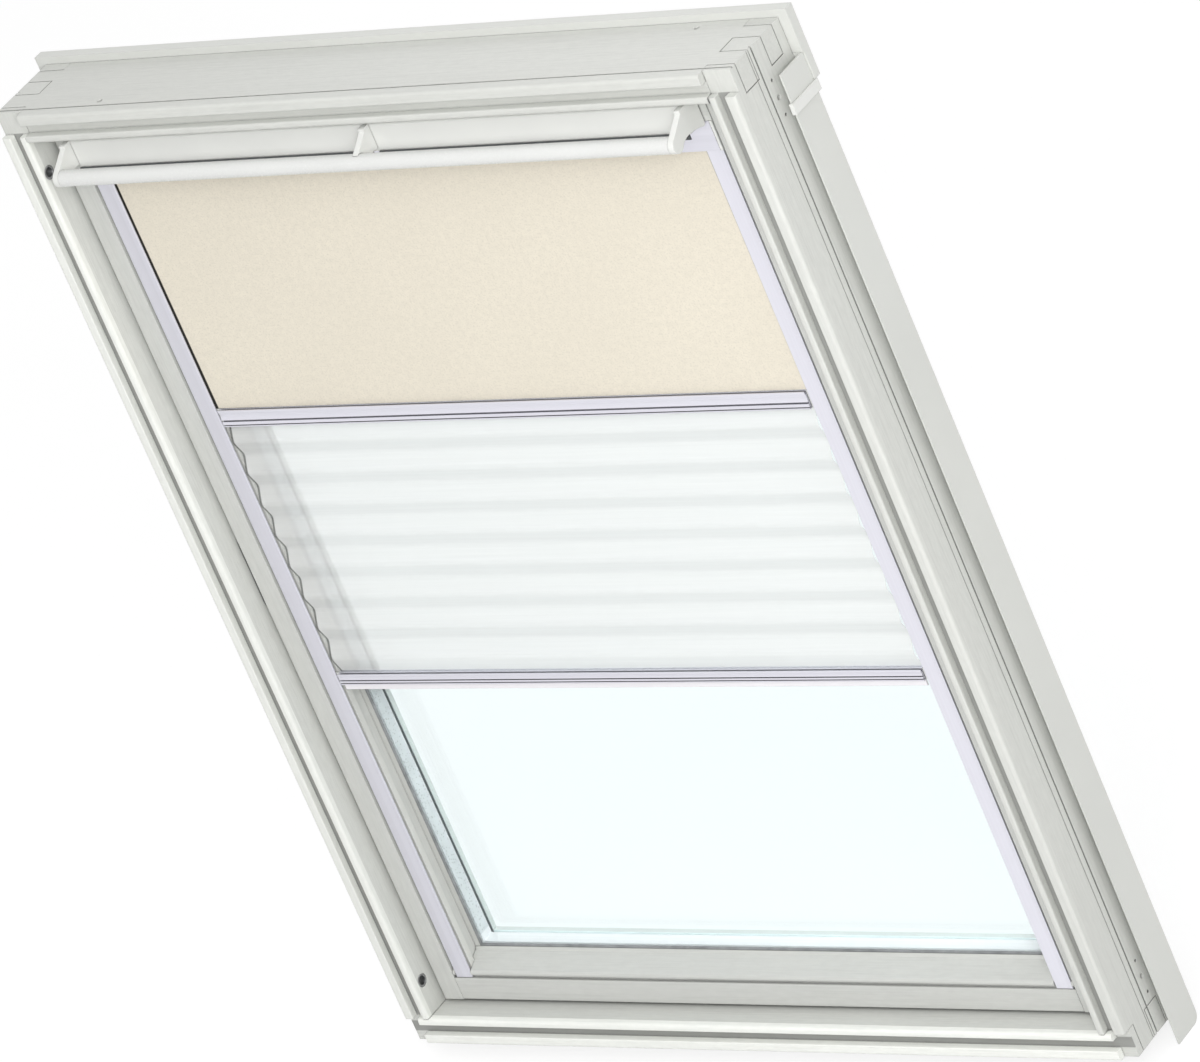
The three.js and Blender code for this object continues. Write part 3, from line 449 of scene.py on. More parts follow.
def zinc_steel(name, colour):
    """Zinc-plated steel: cloudy plating with short scratches."""
    finish = Finish(name)
    clouds = finish.noise((160, 160, 160), 4.0, 0.6)
    scratches = finish.noise((2500, 120, 2500), 2.0)
    normal, edge = finish.eased(0.0004)
    body = finish.varied(clouds, colour, 0.82, 1.12)
    # paler edges: partly wear, partly painted highlight
    wear_and_painted_light = finish.marked(body, edge, 0.6, tone(colour, 1.4), 0, 1)
    finish.surface(Base_Color=wear_and_painted_light, Metallic=1.0, Roughness=finish.spread(scratches, 0.28, 0.46))
    finish.relief(finish.reckon("MULTIPLY_ADD", clouds, 0.5, scratches), 0.00004, 0.4, normal)
    return finish.material


def sealing_rubber(name, colour):
    """Extruded rubber: matt, with a dusty bloom."""
    finish = Finish(name)
    bloom = finish.noise((90, 90, 90), 4.0)
    skin = finish.noise((1800, 1800, 1800), 2.0)
    body = finish.varied(bloom, colour, 0.8, 1.35)
    finish.surface(Base_Color=body, Roughness=finish.spread(bloom, 0.62, 0.8))
    finish.relief(skin, 0.00006, 0.5)
    return finish.material


def float_glass(name, colour):
    """Clear glass with a faint film on it. Light from the lamps passes straight through."""
    finish = Finish(name)
    film = finish.noise((14, 14, 14), 4.0)
    finish.surface(
        Base_Color=tone(colour),
        Roughness=finish.spread(film, 0.0, 0.02),
        IOR=1.5,
        Transmission_Weight=1.0,
    )
    clear = finish.node("BsdfTransparent", Color=tone(colour, 0.98)).outputs["BSDF"]
    passing = finish.node("LightPath").outputs["Is Shadow Ray"]
    finish.show(finish.mixed(passing, finish.shader.outputs["BSDF"], clear))
    return finish.material


def spacer_bar(name, colour):
    """Pale spacer bar with its row of breather holes. The lower bar has a painted reflection of the
    light sky.
    """
    finish = Finish(name)
    dots = finish.node("TexVoronoi", Vector=finish.place((400, 400, 400)), Scale=1.0)
    holes = finish.spread(dots.outputs["Distance"], 1.0, 0.0, 0.18, 0.3)
    mill = finish.noise((60, 60, 60), 3.0)
    body = finish.varied(mill, colour, 0.94, 1.05)
    pierced = finish.tones(holes, body, tone(colour, 0.6))
    # painted reflection of the light sky below this height
    above = finish.band("Z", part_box("pane_spacer")[0].z + SPACER_FOOT, CLOTH_EASE)
    finish.surface(
        Base_Color=finish.tones(above, SPACER_FOOT_PAINTED_REFLECTION, pierced),
        Roughness=finish.spread(mill, 0.45, 0.6),
    )
    finish.relief(finish.reckon("MULTIPLY_ADD", holes, -1.0, mill), 0.0002, 0.4)
    return finish.material


def blackout_weave(name, colour, edge):
    """Closely woven blackout cloth, speckled, with black painted shadow from an edge outwards,
    beside the rails.
    """
    finish = Finish(name)
    threads = finish.place((TURN / 0.0011,) * 3, cloth=True)
    split = finish.node("SeparateXYZ", Vector=threads).outputs
    warp, weft = (finish.reckon("SINE", split[axis]) for axis in "XY")
    weave = finish.reckon("MULTIPLY", warp, weft)
    grit = finish.noise((560, 560, 560), 2.0, cloth=True)
    mottle = finish.noise((170, 170, 170), 3.0, cloth=True)
    wide = finish.noise((9, 9, 9), 2.0, cloth=True)
    body = finish.varied(wide, colour, 0.985, 1.015)
    flecked = finish.marked(body, mottle, 0.6, tone(colour, 0.92), 0.38, 0.66)
    speckled = finish.marked(flecked, grit, 0.9, tone(colour, 0.85), 0.5, 0.74)
    # painted shadow: black from the edge outwards, beside the rails
    edge_shadow_mask = finish.band("X", edge, CLOTH_EASE, cloth=True, both_sides=True)
    finish.surface(
        Base_Color=finish.tones(edge_shadow_mask, speckled, tone(colour, 0.03)),
        Roughness=0.9,
        Sheen_Weight=0.15,
        Sheen_Roughness=0.5,
        Specular_IOR_Level=0.2,
    )
    finish.relief(finish.reckon("MULTIPLY_ADD", weave, 0.5, grit), 0.0002, 0.5)
    return finish.material


def pleated_weave(name, colour, edge):
    """Thin pleated cloth, slubbed along its folds, and dark with painted shadow from an edge to its
    left end.

    Some of what is behind shows through.
    """
    finish = Finish(name)
    slubs = finish.noise((14, 950, 1), 3.0, cloth=True)
    streaks = finish.noise((5, 330, 1), 2.0, cloth=True)
    grit = finish.noise((700, 700, 1), 2.0, cloth=True)
    body = finish.varied(streaks, colour, 0.97, 1.02)
    slubbed = finish.marked(body, slubs, 0.6, tone(colour, 0.93), 0.5, 0.8)
    # painted shadow: dark from the edge to the left end, in the rail's slot
    slot_shadow_mask = finish.band("X", edge, -CLOTH_EASE, cloth=True)
    finish.surface(
        Base_Color=finish.tones(slot_shadow_mask, slubbed, tone(colour, 0.06)),
        Roughness=0.85,
        Sheen_Weight=0.1,
        Sheen_Roughness=0.5,
        Specular_IOR_Level=0.2,
    )
    finish.relief(finish.reckon("MULTIPLY_ADD", grit, 0.4, slubs), 0.0002, 0.45)
    through = finish.node("BsdfTranslucent", Color=tone(colour)).outputs["BSDF"]
    clear = finish.node("BsdfTransparent", Color=WHITE).outputs["BSDF"]
    lit = finish.mixed(0.3, finish.shader.outputs["BSDF"], through)
    inside = finish.node("NewGeometry").outputs["Backfacing"]
    openness = finish.spread(inside, 0.3, 1.0, 0.0, 1.0)
    finish.show(finish.mixed(openness, lit, clear))
    return finish.material


# Meshes


def new_piece(name, points, faces, material, flat_coordinates=None):
    """A mesh object in the scene, with its cloth coordinates in metres if it has any."""
    mesh = bpy.data.meshes.new(name)
    mesh.from_pydata(points, [], faces)
    mesh.validate()
    sides = bmesh.new()
    sides.from_mesh(mesh)
    bmesh.ops.recalc_face_normals(sides, faces=sides.faces)
    sides.to_mesh(mesh)
    sides.free()
    if flat_coordinates is not None:
        layer = mesh.uv_layers.new(name="cloth")
        for loop in mesh.loops:
            layer.data[loop.index].uv = flat_coordinates[loop.vertex_index]
    mesh.materials.append(material)
    piece = bpy.data.objects.new(name, mesh)
    bpy.context.scene.collection.objects.link(piece)
    return piece


def lengths_along(line):
    """How far each (y, z) point of a line is from its start, along the line."""
    lengths = [0.0]
    for before, after in zip(line, line[1:]):
        lengths.append(lengths[-1] + math.dist(before, after))
    return lengths


def thin_sheet(name, across, line, thickness, material):
    """A closed thin sheet: line is the (y, z) points of its middle from top to bottom."""
    lengths = lengths_along(line)
    columns = len(across)
    points, flat = [], []
    for side in (-1, 1):
        for index, (y, z) in enumerate(line):
            before = line[max(index - 1, 0)]
            after = line[min(index + 1, len(line) - 1)]
            half = side * thickness / 2 / math.dist(before, after)
            step_y, step_z = half * (after[1] - before[1]), half * (before[0] - after[0])
            for x in across:
                points.append((x, y + step_y, z + step_z))
                flat.append((x, lengths[index]))
    rows = len(line)
    back = rows * columns
    faces = []
    for row in range(rows - 1):
        for column in range(columns - 1):
            corner = row * columns + column
            ring = (corner, corner + columns, corner + columns + 1, corner + 1)
            faces.append(ring)
            faces.append(tuple(back + index for index in reversed(ring)))
    rim = list(range(columns))
    rim += [row * columns + columns - 1 for row in range(1, rows)]
    rim += [(rows - 1) * columns + column for column in range(columns - 2, -1, -1)]
    rim += [row * columns for row in range(rows - 2, 0, -1)]
    for first, second in zip(rim, rim[1:] + rim[:1]):
        faces.append((first, second, back + second, back + first))
    return new_piece(name, points, faces, material, flat)


def even_steps(low, high, count):
    """count + 1 numbers from low to high."""
    return [low + (high - low) * step / count for step in range(count + 1)]


def lathe_x(name, profile, sides, centre, material):
    """A turned piece about an X axis: profile is the closed ring of (x, radius) points."""
    points, faces = [], []
    ring = len(profile)
    for side in range(sides):
        angle = TURN * side / sides
        here, following = side * ring, (side + 1) % sides * ring
        for index, (x, radius) in enumerate(profile):
            out_y, out_z = radius * math.cos(angle), radius * math.sin(angle)
            points.append((x, centre[1] + out_y, centre[2] + out_z))
            after = (index + 1) % ring
            faces.append((here + index, here + after, following + after, following + index))
    return new_piece(name, points, faces, material)


def wound_layers(name, centre, inner, outer, half_width, material):
    """Cloth wound on a tube: a closed spiral band, as wide as the cloth."""
    thickness = (outer - inner) / ROLL_TURNS
    count = int(ROLL_TURNS * FINE_SIDES)
    points, flat, length = [], [], 0.0
    for step in range(count + 1):
        turned = step / FINE_SIDES
        angle = math.pi - TURN * turned
        radius = outer - thickness * turned
        if step:
            length += radius * TURN / FINE_SIDES
        for reach in (radius, radius - thickness * 0.94):
            y = centre[1] + reach * math.cos(angle)
            z = centre[2] + reach * math.sin(angle)
            for x in (-half_width, half_width):
                points.append((x, y, z))
                flat.append((x, length))
    faces = []
    for index in range(count):
        a, b = index * 4, index * 4 + 4
        faces.append((a, a + 1, b + 1, b))
        faces.append((a + 2, b + 2, b + 3, a + 3))
        faces.append((a, b, b + 2, a + 2))
        faces.append((a + 1, a + 3, b + 3, b + 1))
    last = count * 4
    faces.append((0, 2, 3, 1))
    faces.append((last, last + 1, last + 3, last + 2))
    return new_piece(name, points, faces, material, flat)


def screw_heads(name, places, radius, material, body):
    """Pan-head screws with a cross recess, standing on faces that look out of the roof."""
    sides = 32
    rim = [(1.0, 0.0), (1.0, 0.28), (0.86, 0.46), (0.62, 0.56)]
    points, faces = [], []

    def ring(place, reach, rise):
        start = len(points)
        for index in range(sides):
            angle = TURN * index / sides
            out = radius * reach(index)
            step = Vector((out * math.cos(angle), radius * rise, out * math.sin(angle)))
            points.append(Vector(place) + step)
        return start

    def cross(index):
        turn = abs((index * 4 / sides) % 1 - 0.5) * 2
        return 0.48 if turn > 0.7 else 0.16

    for place in places:
        rings = [ring(place, lambda index, share=share: share, rise) for share, rise in rim]
        rings += [ring(place, cross, 0.6), ring(place, cross, 0.22)]
        foot, floor = len(points), len(points) + 1
        points.append(Vector(place))
        points.append(Vector(place) + Vector((0, radius * 0.2, 0)))
        for lower, upper in zip(rings, rings[1:]):
            for index in range(sides):
                after = (index + 1) % sides
                faces.append((lower + index, lower + after, upper + after, upper + index))
        for index in range(sides):
            after = (index + 1) % sides
            faces.append((foot, rings[0] + after, rings[0] + index))
            faces.append((floor, rings[-1] + index, rings[-1] + after))
    piece = new_piece(name, points, faces, material)
    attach(piece, body)


def long_strip(name, low, high, material, body):
    """A strip along X between two corners, with its lower edge rounded."""
    half = (high.y - low.y) / 2
    profile = [(high.y, high.z), (low.y, high.z)]
    for step in range(9):
        angle = math.pi * step / 8
        out, down = half * math.cos(angle), half * math.sin(angle)
        profile.append((low.y + half - out, low.z + half - down))
    ring = len(profile)
    points = [(x, y, z) for x in (low.x, high.x) for y, z in profile]
    faces = [tuple(range(ring)), tuple(range(2 * ring - 1, ring - 1, -1))]
    for index in range(ring):
        after = (index + 1) % ring
        faces.append((index, after, ring + after, ring + index))
    piece = new_piece(name, points, faces, material)
    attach(piece, body)


# Sizes and colours that a user would change


def colour_property(name, description, default):
    """A colour of a finish."""
    return bpy.props.FloatVectorProperty(
        name=name,
        description=description,
        default=default,
        min=0.0,
        max=1.0,
        size=3,
        subtype="COLOR",
    )


def length_property(name, description, default, low=0.0, high=1.0):
    """A length in metres."""
    return bpy.props.FloatProperty(
        name=name,
        description=description,
        default=default,
        min=low,
        max=high,
        precision=4,
        subtype="DISTANCE",
        unit="LENGTH",
    )


def power_property(name, description, default):
    """A lamp's power."""
    return bpy.props.FloatProperty(
        name=name, description=description, default=default, min=0.0, max=1000.0, subtype="POWER"
    )


class SkylightColours(bpy.types.PropertyGroup):
    """Colours of the window's finishes."""

    lacquer: colour_property("Lacquer", "Lacquer of the frame", (0.632, 0.640, 0.608))
    sash_lacquer: colour_property("Sash", "Lacquer of the sash", (0.595, 0.602, 0.576))
    cover: colour_property("Covers", "Powder coat of the metal covers", (0.640, 0.648, 0.618))
    plastic: colour_property("Mouldings", "Flap, brackets and glides", (0.72, 0.726, 0.70))
    handle: colour_property("Control bar", "Plastic of the control bar", (0.68, 0.685, 0.67))
    pull_lip: colour_property("Pull lip", "Lip under the pleated cloth's bar", (0.84, 0.82, 0.85))
    aluminium: colour_property("Aluminium", "Cassette, rails and bars", (0.74, 0.735, 0.80))
    steel: colour_property("Steel", "Pivots, bolt and screws", (0.42, 0.425, 0.435))
    rubber: colour_property("Rubber", "Seals round the sash, and sealant", (0.075, 0.08, 0.083))
    gasket: colour_property("Gasket", "Seals round the pane", (0.22, 0.23, 0.235))
    glass: colour_property("Glass", "Tint of one pane", (0.96, 0.997, 1.0))
    spacer: colour_property("Spacer", "Bar between the panes", (0.62, 0.63, 0.64))
    blackout: colour_property("Blackout cloth", "Cream cloth", (0.745, 0.693, 0.585))
    pleated: colour_property("Pleated cloth", "White cloth", (0.93, 0.935, 0.922))


class SkylightSizes(bpy.types.PropertyGroup):
    """Sizes of the pieces that aren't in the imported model."""

    blackout_thickness: length_property("Blackout", "Blackout cloth's thickness", 0.0005)
    blackout_lean: length_property("Lean", "Blackout cloth's lean off the upright", 0.0006)
    pleated_thickness: length_property("Pleated", "Pleated cloth's thickness", 0.00035)
    pleat_count: bpy.props.IntProperty(
        name="Pleats",
        description="Folds towards the room in the pleated cloth",
        default=8,
        min=2,
        max=40,
    )
    pleat_softness: bpy.props.FloatProperty(
        name="Fold softness",
        description="Share of each face that bends into the fold",
        default=0.16,
        min=0.0,
        max=0.5,
        subtype="FACTOR",
    )
    # painted shadow at the pleated cloth's left end, in the rail's slot
    slot_shadow_width: length_property("Cut edge", "Dark cut edge of the pleated cloth", 0.0024)
    # painted shadow along the blackout cloth's edges, next to the rails
    edge_shadow_in_sight: length_property("Tape", "Edge tape of the blackout cloth in sight", 0.002)
    pull_lip_drop: length_property("Pull lip", "Height of the pleated cloth's pull lip", 0.007)
    pull_lip_thickness: length_property("Lip", "Thickness of the pull lip", 0.002)
    # a dark strip along the flap's lower edge: painted shadow of the gap above the control bar
    flap_shadow_drop: length_property("Flap lip", "Flap's rubber lip below its edge", 0.0038)
    flap_shadow_lap: length_property("Flap lap", "Flap's rubber lip over its edge", 0.0018)
    flap_shadow_thickness: length_property("Lip rubber", "Thickness of the flap's lip", 0.0014)
    bracket_gap: length_property("Bracket gap", "Half the gap in the lip for the bracket", 0.0034)
    screw_radius: length_property("Screw", "Radius of a screw's head", 0.0034)
    screw_end_distance: length_property("End distance", "From a screw to a section's end", 0.045)
    head_cover_sheets: length_property("Head cover", "Packer and plate of the head cover", 0.0033)
    sill_cover_sheet: length_property("Sill cover", "Sheet of the sill cover", 0.0015)


class SkylightStage(bpy.types.PropertyGroup):
    """The floor and the light."""

    floor_gap: length_property("Floor gap", "From the window's foot to the floor", 0.0005)
    floor_reach: length_property("Floor reach", "Half the floor's side", 14.0, 1.0, 50.0)
    sky: bpy.props.FloatProperty(
        name="Sky light",
        description="Strength of the even light from all round",
        default=0.62,
        min=0.0,
        max=2.0,
    )
    high_lamp: power_property("High lamp", "Soft lamp above the window", 21.0)
    back_lamp: power_property("Back lamp", "Soft lamp on the roof's side", 9.0)
    front_lamp: power_property("Front lamp", "Soft lamp in front, on the camera's side", 72.0)
    lamp_size: length_property("Lamp size", "Side of a soft lamp", 1.6, 0.1, 10.0)


# Operators


class SkylightOperator:
    """What the window's operators share."""

    bl_options = {"REGISTER", "UNDO"}

    def execute(self, context):
        self.make(context.scene)
        return {"FINISHED"}


class SKYLIGHT_OT_timber(SkylightOperator, bpy.types.Operator):
    """Lacquers the timber of frame and sash, with the grain along each member"""

    bl_idname = "skylight.timber"
    bl_label = "Lacquer Timber"

    def make(self, scene):
        colour = scene.skylight_colours.lacquer
        inner = scene.skylight_colours.sash_lacquer
        dress(("frame_top",), lacquered_timber("frame_top_lacquer", colour, ACROSS))
        dress(SASH_ACROSS, lacquered_timber("lacquer_across", inner, ACROSS))
        dress(SASH_UPRIGHT, lacquered_timber("lacquer_upright", inner, UPRIGHT))
        low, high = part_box("frame_right")
        depth = low.y + GROOVE_FLOOR
        span = ("X", high.x - GROOVE_END, high.x - GROOVE_START)
        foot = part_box("frame_bottom")[0].z
        foot_span = ("Z", foot + GROOVE_START, foot + GROOVE_END)
        for node, axis, place, top in (
            ("frame_left", UPRIGHT, span, high.z - GROOVE_END),
            ("frame_right", UPRIGHT, span, high.z - GROOVE_END),
            ("frame_bottom", ACROSS, foot_span, high.z),
        ):
            # the lip's factor is painted light
            groove = (*place, depth, LIP_PAINTED_LIGHT[node], top)
            dress((node,), lacquered_timber(node + "_lacquer", colour, axis, groove))


class SKYLIGHT_OT_covers(SkylightOperator, bpy.types.Operator):
    """Coats the metal covers round the frame and the cladding round the pane"""

    bl_idname = "skylight.covers"
    bl_label = "Coat Covers"

    def make(self, scene):
        colours = scene.skylight_colours
        colour = colours.cover
        dress(COVERS_ACROSS, powder_coat("powder_coat_across", colour, ACROSS))
        dress(COVERS_UPRIGHT, powder_coat("powder_coat_upright", colour, UPRIGHT))
        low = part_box("cladding_right")[0]
        strip = (low.x + BEDDING_WIDTH, colours.spacer)
        bedded = powder_coat("bedded_upright", colour, UPRIGHT, colours.rubber, low.y, strip)
        dress(("cladding_left", "cladding_right"), bedded)
        bedded = powder_coat("bedded_top", colour, ACROSS, colours.rubber, low.y)
        dress(("cladding_top",), bedded)
        bedded = powder_coat("bedded_bottom", colour, ACROSS, colours.glass, low.y)
        dress(("cladding_bottom",), bedded)


class SKYLIGHT_OT_mouldings(SkylightOperator, bpy.types.Operator):
    """Finishes the flap, the brackets, the clips and the glides"""

    bl_idname = "skylight.mouldings"
    bl_label = "Finish Mouldings"

    def make(self, scene):
        dress(MOULDINGS, moulded_plastic("moulded_plastic", scene.skylight_colours.plastic, 0.36))


class SKYLIGHT_OT_control_bar(SkylightOperator, bpy.types.Operator):
    """Finishes the control bar under the flap"""

    bl_idname = "skylight.control_bar"
    bl_label = "Finish Control Bar"

    def make(self, scene):
        dress(("control_bar",), moulded_plastic("bar_plastic", scene.skylight_colours.handle, 0.22))


class SKYLIGHT_OT_extrusions(SkylightOperator, bpy.types.Operator):
    """Finishes the cassette, the guide rails and the two bars of the blinds"""

    bl_idname = "skylight.extrusions"
    bl_label = "Finish Extrusions"

    def make(self, scene):
        colour = scene.skylight_colours.aluminium
        dress(EXTRUSIONS_ACROSS, drawn_aluminium("aluminium_across", colour, ACROSS))
        slot_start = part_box("guide_rail_left")[0].y + RAIL_LIP_THICKNESS
        # each rail's factor is painted light or shade
        for node, factor in RAIL_LIGHT_AND_SHADE.items():
            shade = tone(colour, factor)[:3]
            dress((node,), drawn_aluminium(node + "_aluminium", shade, UPRIGHT, slot_start))


class SKYLIGHT_OT_hardware(SkylightOperator, bpy.types.Operator):
    """Finishes the pivots, the barrel bolt with its bushes and the roller's spring"""

    bl_idname = "skylight.hardware"
    bl_label = "Finish Hardware"

    def make(self, scene):
        dress(HARDWARE, zinc_steel("zinc_steel", scene.skylight_colours.steel))


class SKYLIGHT_OT_glazing(SkylightOperator, bpy.types.Operator):
    """Finishes the two panes, the spacer between them and the rubber seals"""

    bl_idname = "skylight.glazing"
    bl_label = "Finish Glazing"

    def make(self, scene):
        colours = scene.skylight_colours
        dress(PANES, float_glass("float_glass", colours.glass))
        dress(("pane_spacer",), spacer_bar("spacer_bar", colours.spacer))
        dress(GLAZING_SEALS, sealing_rubber("glazing_rubber", colours.gasket))
        dress(SASH_SEALS, sealing_rubber("sash_rubber", colours.rubber))


class SKYLIGHT_OT_blackout_cloth(SkylightOperator, bpy.types.Operator):
    """Makes the cream blackout cloth from the roller to its bar"""

    bl_idname = "skylight.blackout_cloth"
    bl_label = "Make Blackout Cloth"

    def make(self, scene):
        sizes = scene.skylight_sizes
        low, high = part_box("blackout_cloth")
        middle = (low.y + high.y) / 2
        rows = 48
        lean = sizes.blackout_lean / 2
        line = [
            (middle + lean * (2 * row / rows - 1), high.z + (low.z - high.z) * row / rows)
            for row in range(rows + 1)
        ]
        across = even_steps(low.x, high.x, 40)
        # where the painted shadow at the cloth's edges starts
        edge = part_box("guide_rail_right")[0].x - sizes.edge_shadow_in_sight
        material = blackout_weave("blackout_weave", scene.skylight_colours.blackout, edge)
        cloth = thin_sheet("blackout_panel", across, line, sizes.blackout_thickness, material)
        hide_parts("blackout_cloth")
        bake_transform(cloth)


class SKYLIGHT_OT_roller(SkylightOperator, bpy.types.Operator):
    """Makes the roller in the cassette, with the rest of the blackout cloth wound on it"""

    bl_idname = "skylight.roller"
    bl_label = "Make Roller"

    def make(self, scene):
        low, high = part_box("roller_tube")
        half_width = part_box("blackout_cloth")[1].x
        centre = (low + high) / 2
        outer = (high.z - low.z) / 2
        wall_end = outer - ROLL_THICKNESS
        bore = wall_end - TUBE_WALL
        ends = [(low.x, bore), (high.x, bore), (high.x, wall_end), (low.x, wall_end)]
        colours = scene.skylight_colours
        material = drawn_aluminium("roller_aluminium", colours.aluminium, ACROSS)
        tube = lathe_x("roller_core", ends, FINE_SIDES, centre, material)
        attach(tube, "roller")
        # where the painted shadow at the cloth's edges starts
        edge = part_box("guide_rail_right")[0].x - scene.skylight_sizes.edge_shadow_in_sight
        material = blackout_weave("wound_blackout_weave", colours.blackout, edge)
        roll = wound_layers("blackout_roll", centre, wall_end, outer, half_width, material)
        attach(roll, "roller")
        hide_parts("roller_tube")


class SKYLIGHT_OT_pleated_cloth(SkylightOperator, bpy.types.Operator):
    """Makes the white pleated cloth between the two bars"""

    bl_idname = "skylight.pleated_cloth"
    bl_label = "Make Pleated Cloth"

    def make(self, scene):
        sizes = scene.skylight_sizes
        low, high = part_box("pleated_cloth")
        middle = (low.y + high.y) / 2
        swing = (high.y - low.y - sizes.pleated_thickness) / 2
        face = (high.z - low.z) / (2 * sizes.pleat_count)
        soft = sizes.pleat_softness
        line = []
        for index in range(2 * sizes.pleat_count + 1):
            toward = -1 if index % 2 else 1
            fold = high.z - face * index
            if 0 < index < 2 * sizes.pleat_count:
                bend = ((-soft, 0.55), (-soft / 2, 0.86), (0, 1.0), (soft / 2, 0.86), (soft, 0.55))
                for share, drop in bend:
                    reach = 1 - (1 - drop) * 2 * soft / 0.9
                    line.append((middle + toward * swing * reach, fold - face * share))
            else:
                line.append((middle + toward * swing, fold))
        across = even_steps(low.x, high.x, 36)
        # where the painted shadow at the cloth's left end stops
        edge = low.x + sizes.slot_shadow_width
        material = pleated_weave("pleated_weave", scene.skylight_colours.pleated, edge)
        cloth = thin_sheet("pleated_panel", across, line, sizes.pleated_thickness, material)
        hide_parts("pleated_cloth")
        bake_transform(cloth)


class SKYLIGHT_OT_lips(SkylightOperator, bpy.types.Operator):
    """Makes the pull lip under the pleated cloth's bar and a dark rubber strip along the flap,
    which is painted shadow of the gap above the control bar
    """

    bl_idname = "skylight.lips"
    bl_label = "Make Lips"

    def make(self, scene):
        sizes = scene.skylight_sizes
        low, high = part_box("pleat_bar")
        middle = (low.y + high.y) / 2
        half = sizes.pull_lip_thickness / 2
        plastic = moulded_plastic("lip_plastic", scene.skylight_colours.pull_lip, 0.3)
        start = Vector((low.x + half, middle - half, low.z - sizes.pull_lip_drop))
        end = Vector((high.x - half, middle + half, low.z - LIP_GAP))
        long_strip("pull_lip", start, end, plastic, "pleat_bar")
        # dark rubber strip along the flap: painted shadow of the gap above the control bar
        low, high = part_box("vent_flap")
        rubber = sealing_rubber("flap_shadow_rubber", scene.skylight_colours.rubber)
        front = low.y - LIP_GAP
        foot, top = low.z - sizes.flap_shadow_drop, low.z + sizes.flap_shadow_lap
        for name, left, right in (
            ("flap_shadow_strip_left", low.x, -sizes.bracket_gap),
            ("flap_shadow_strip_right", sizes.bracket_gap, high.x),
        ):
            start = Vector((left, front - sizes.flap_shadow_thickness, foot))
            end = Vector((right, front, top))
            long_strip(name, start, end, rubber, "control_bar")


class SKYLIGHT_OT_screws(SkylightOperator, bpy.types.Operator):
    """Makes the screws that hold the cladding and the covers on the roof's side"""

    bl_idname = "skylight.screws"
    bl_label = "Make Screws"

    def make(self, scene):
        sizes = scene.skylight_sizes
        steel = zinc_steel("screw_steel", scene.skylight_colours.steel)
        end = sizes.screw_end_distance
        for node in CLADDING:
            low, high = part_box(node)
            middle = (low + high) / 2
            if high.x - low.x > high.z - low.z:
                spots = [(x, middle.z) for x in (low.x + end, middle.x, high.x - end)]
            else:
                spots = [(middle.x, z) for z in (low.z + end, middle.z, high.z - end)]
            places = [(x, high.y, z) for x, z in spots]
            screw_heads(node + "_screws", places, sizes.screw_radius, steel, "sash")
        for node, sheets, member in (
            ("head_cover", sizes.head_cover_sheets, "frame_top"),
            ("sill_cover", sizes.sill_cover_sheet, "frame_bottom"),
        ):
            low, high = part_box(node)
            level = sum(corner.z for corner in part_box(member)) / 2
            places = [(x, low.y + sheets, level) for x in (low.x + 3 * end, 0, high.x - 3 * end)]
            screw_heads(node + "_screws", places, sizes.screw_radius, steel, "frame")


class SKYLIGHT_OT_stage(SkylightOperator, bpy.types.Operator):
    """Sets the pale floor, the soft light and the camera"""

    bl_idname = "skylight.stage"
    bl_label = "Set Stage"

    def make(self, scene):
        settings = scene.skylight_stage
        make_floor(CAD_BOX[0].z - settings.floor_gap, settings.floor_reach)
        make_sky(scene, settings.sky)
        make_lamp("high_lamp", HIGH_LAMP_FROM, settings.high_lamp, settings.lamp_size)
        make_lamp("front_lamp", FRONT_LAMP_FROM, settings.front_lamp, settings.lamp_size)
        make_lamp("back_lamp", BACK_LAMP_FROM, settings.back_lamp, settings.lamp_size)
        make_camera(scene)
        scene.view_settings.view_transform = "Standard"


def make_floor(height, reach):
    """A pale floor that reads white and keeps the window's shadow."""
    finish = Finish("pale_floor")
    dust = finish.noise((3, 3, 3), 4.0)
    plain = finish.varied(dust, (0.8, 0.8, 0.8), 0.9875, 1.0125)
    finish.surface(Base_Color=plain, Roughness=0.95, Specular_IOR_Level=0.0)
    white = finish.node("Emission", Color=WHITE, Strength=1.14).outputs["Emission"]
    share = finish.reckon("MULTIPLY", finish.seen(), 0.72)
    finish.show(finish.mixed(share, finish.shader.outputs["BSDF"], white))
    signs = ((-1, -1), (1, -1), (1, 1), (-1, 1))
    corners = [(x * reach, y * reach, height) for x, y in signs]
    new_piece("floor", corners, [(0, 1, 2, 3)], finish.material)


def make_sky(scene, strength):
    """Even light from all round, and white where it is seen."""
    scene.world = bpy.data.worlds.new("white_room")
    scene.world.use_nodes = True
    sky = Shading(scene.world.node_tree)
    background = sky.tree.nodes["Background"]
    sky.feed(background.inputs["Color"], WHITE)
    sky.feed(background.inputs["Strength"], sky.spread(sky.seen(), strength, 1, 0, 1))


def make_lamp(name, start, power, size):
    """A large soft lamp that shines on the window's middle from a place beside it."""
    light = bpy.data.lights.new(name, "AREA")
    light.shape = "SQUARE"
    light.size = size
    light.energy = power
    lamp = bpy.data.objects.new(name, light)
    middle = (CAD_BOX[0] + CAD_BOX[1]) / 2
    lamp.location = middle + Vector(start)
    lamp.rotation_euler = (-Vector(start)).to_track_quat("-Z", "Y").to_euler()
    bpy.context.scene.collection.objects.link(lamp)


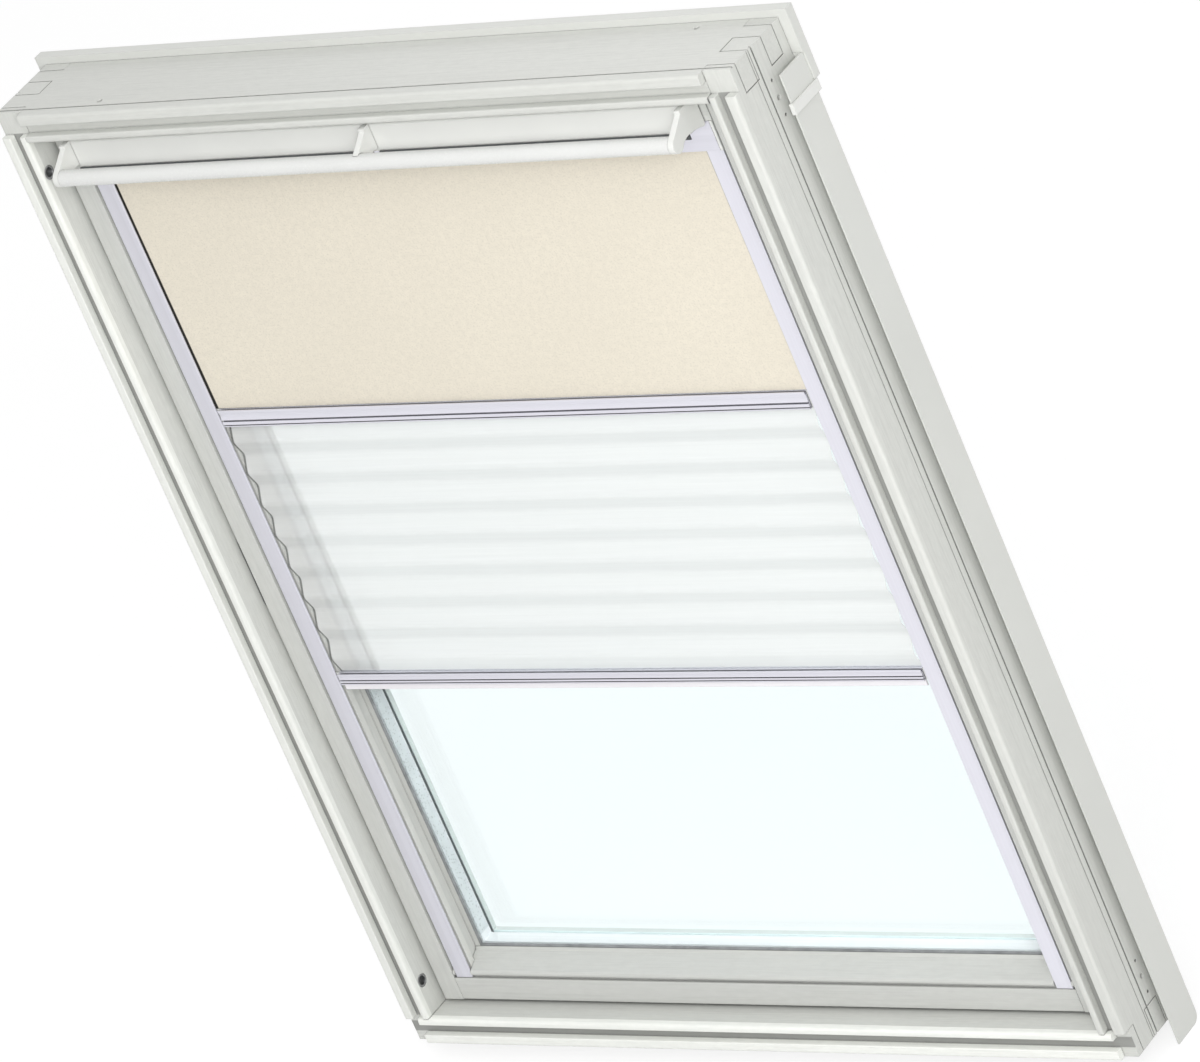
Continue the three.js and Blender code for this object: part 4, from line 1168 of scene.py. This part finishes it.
def make_camera(scene):
    """The camera at the picture's angle: from the room, from the right and above, and rolled."""
    camera = bpy.data.objects.new("camera", bpy.data.cameras.new("camera"))
    camera.data.lens = CAMERA_LENS
    camera.data.sensor_width = CAMERA_SENSOR
    camera.data.clip_start = 0.1
    camera.data.clip_end = 100.0
    turn = Matrix((CAMERA_RIGHT, CAMERA_UP, CAMERA_BACK)).transposed().to_4x4()
    camera.matrix_world = Matrix.Translation(CAMERA_PLACE) @ turn
    scene.collection.objects.link(camera)
    scene.camera = camera


class SKYLIGHT_PT_panel(bpy.types.Panel):
    """Lists the steps that make the window"""

    bl_label = "Skylight"
    bl_space_type = "VIEW_3D"
    bl_region_type = "UI"
    bl_category = "Skylight"

    def draw(self, context):
        column = self.layout.column()
        for operator in OPERATORS:
            column.operator(operator.bl_idname)


GROUPS = (SkylightColours, SkylightSizes, SkylightStage)
OPERATORS = (
    SKYLIGHT_OT_timber,
    SKYLIGHT_OT_covers,
    SKYLIGHT_OT_mouldings,
    SKYLIGHT_OT_control_bar,
    SKYLIGHT_OT_extrusions,
    SKYLIGHT_OT_hardware,
    SKYLIGHT_OT_glazing,
    SKYLIGHT_OT_roller,
    SKYLIGHT_OT_blackout_cloth,
    SKYLIGHT_OT_pleated_cloth,
    SKYLIGHT_OT_lips,
    SKYLIGHT_OT_screws,
    SKYLIGHT_OT_stage,
)


def register():
    """Registers the classes and puts the settings on the scene."""
    for item in (*GROUPS, *OPERATORS, SKYLIGHT_PT_panel):
        bpy.utils.register_class(item)
    bpy.types.Scene.skylight_colours = bpy.props.PointerProperty(type=SkylightColours)
    bpy.types.Scene.skylight_sizes = bpy.props.PointerProperty(type=SkylightSizes)
    bpy.types.Scene.skylight_stage = bpy.props.PointerProperty(type=SkylightStage)


def unregister():
    """Takes the settings off the scene and unregisters the classes."""
    del bpy.types.Scene.skylight_stage
    del bpy.types.Scene.skylight_sizes
    del bpy.types.Scene.skylight_colours
    for item in reversed((*GROUPS, *OPERATORS, SKYLIGHT_PT_panel)):
        bpy.utils.unregister_class(item)


def main():
    """Makes the whole window."""
    register()
    bpy.ops.skylight.timber()
    bpy.ops.skylight.covers()
    bpy.ops.skylight.mouldings()
    bpy.ops.skylight.control_bar()
    bpy.ops.skylight.extrusions()
    bpy.ops.skylight.hardware()
    bpy.ops.skylight.glazing()
    bpy.ops.skylight.roller()
    bpy.ops.skylight.blackout_cloth()
    bpy.ops.skylight.pleated_cloth()
    bpy.ops.skylight.lips()
    bpy.ops.skylight.screws()
    bpy.ops.skylight.stage()


if __name__ == "__main__":
    main()
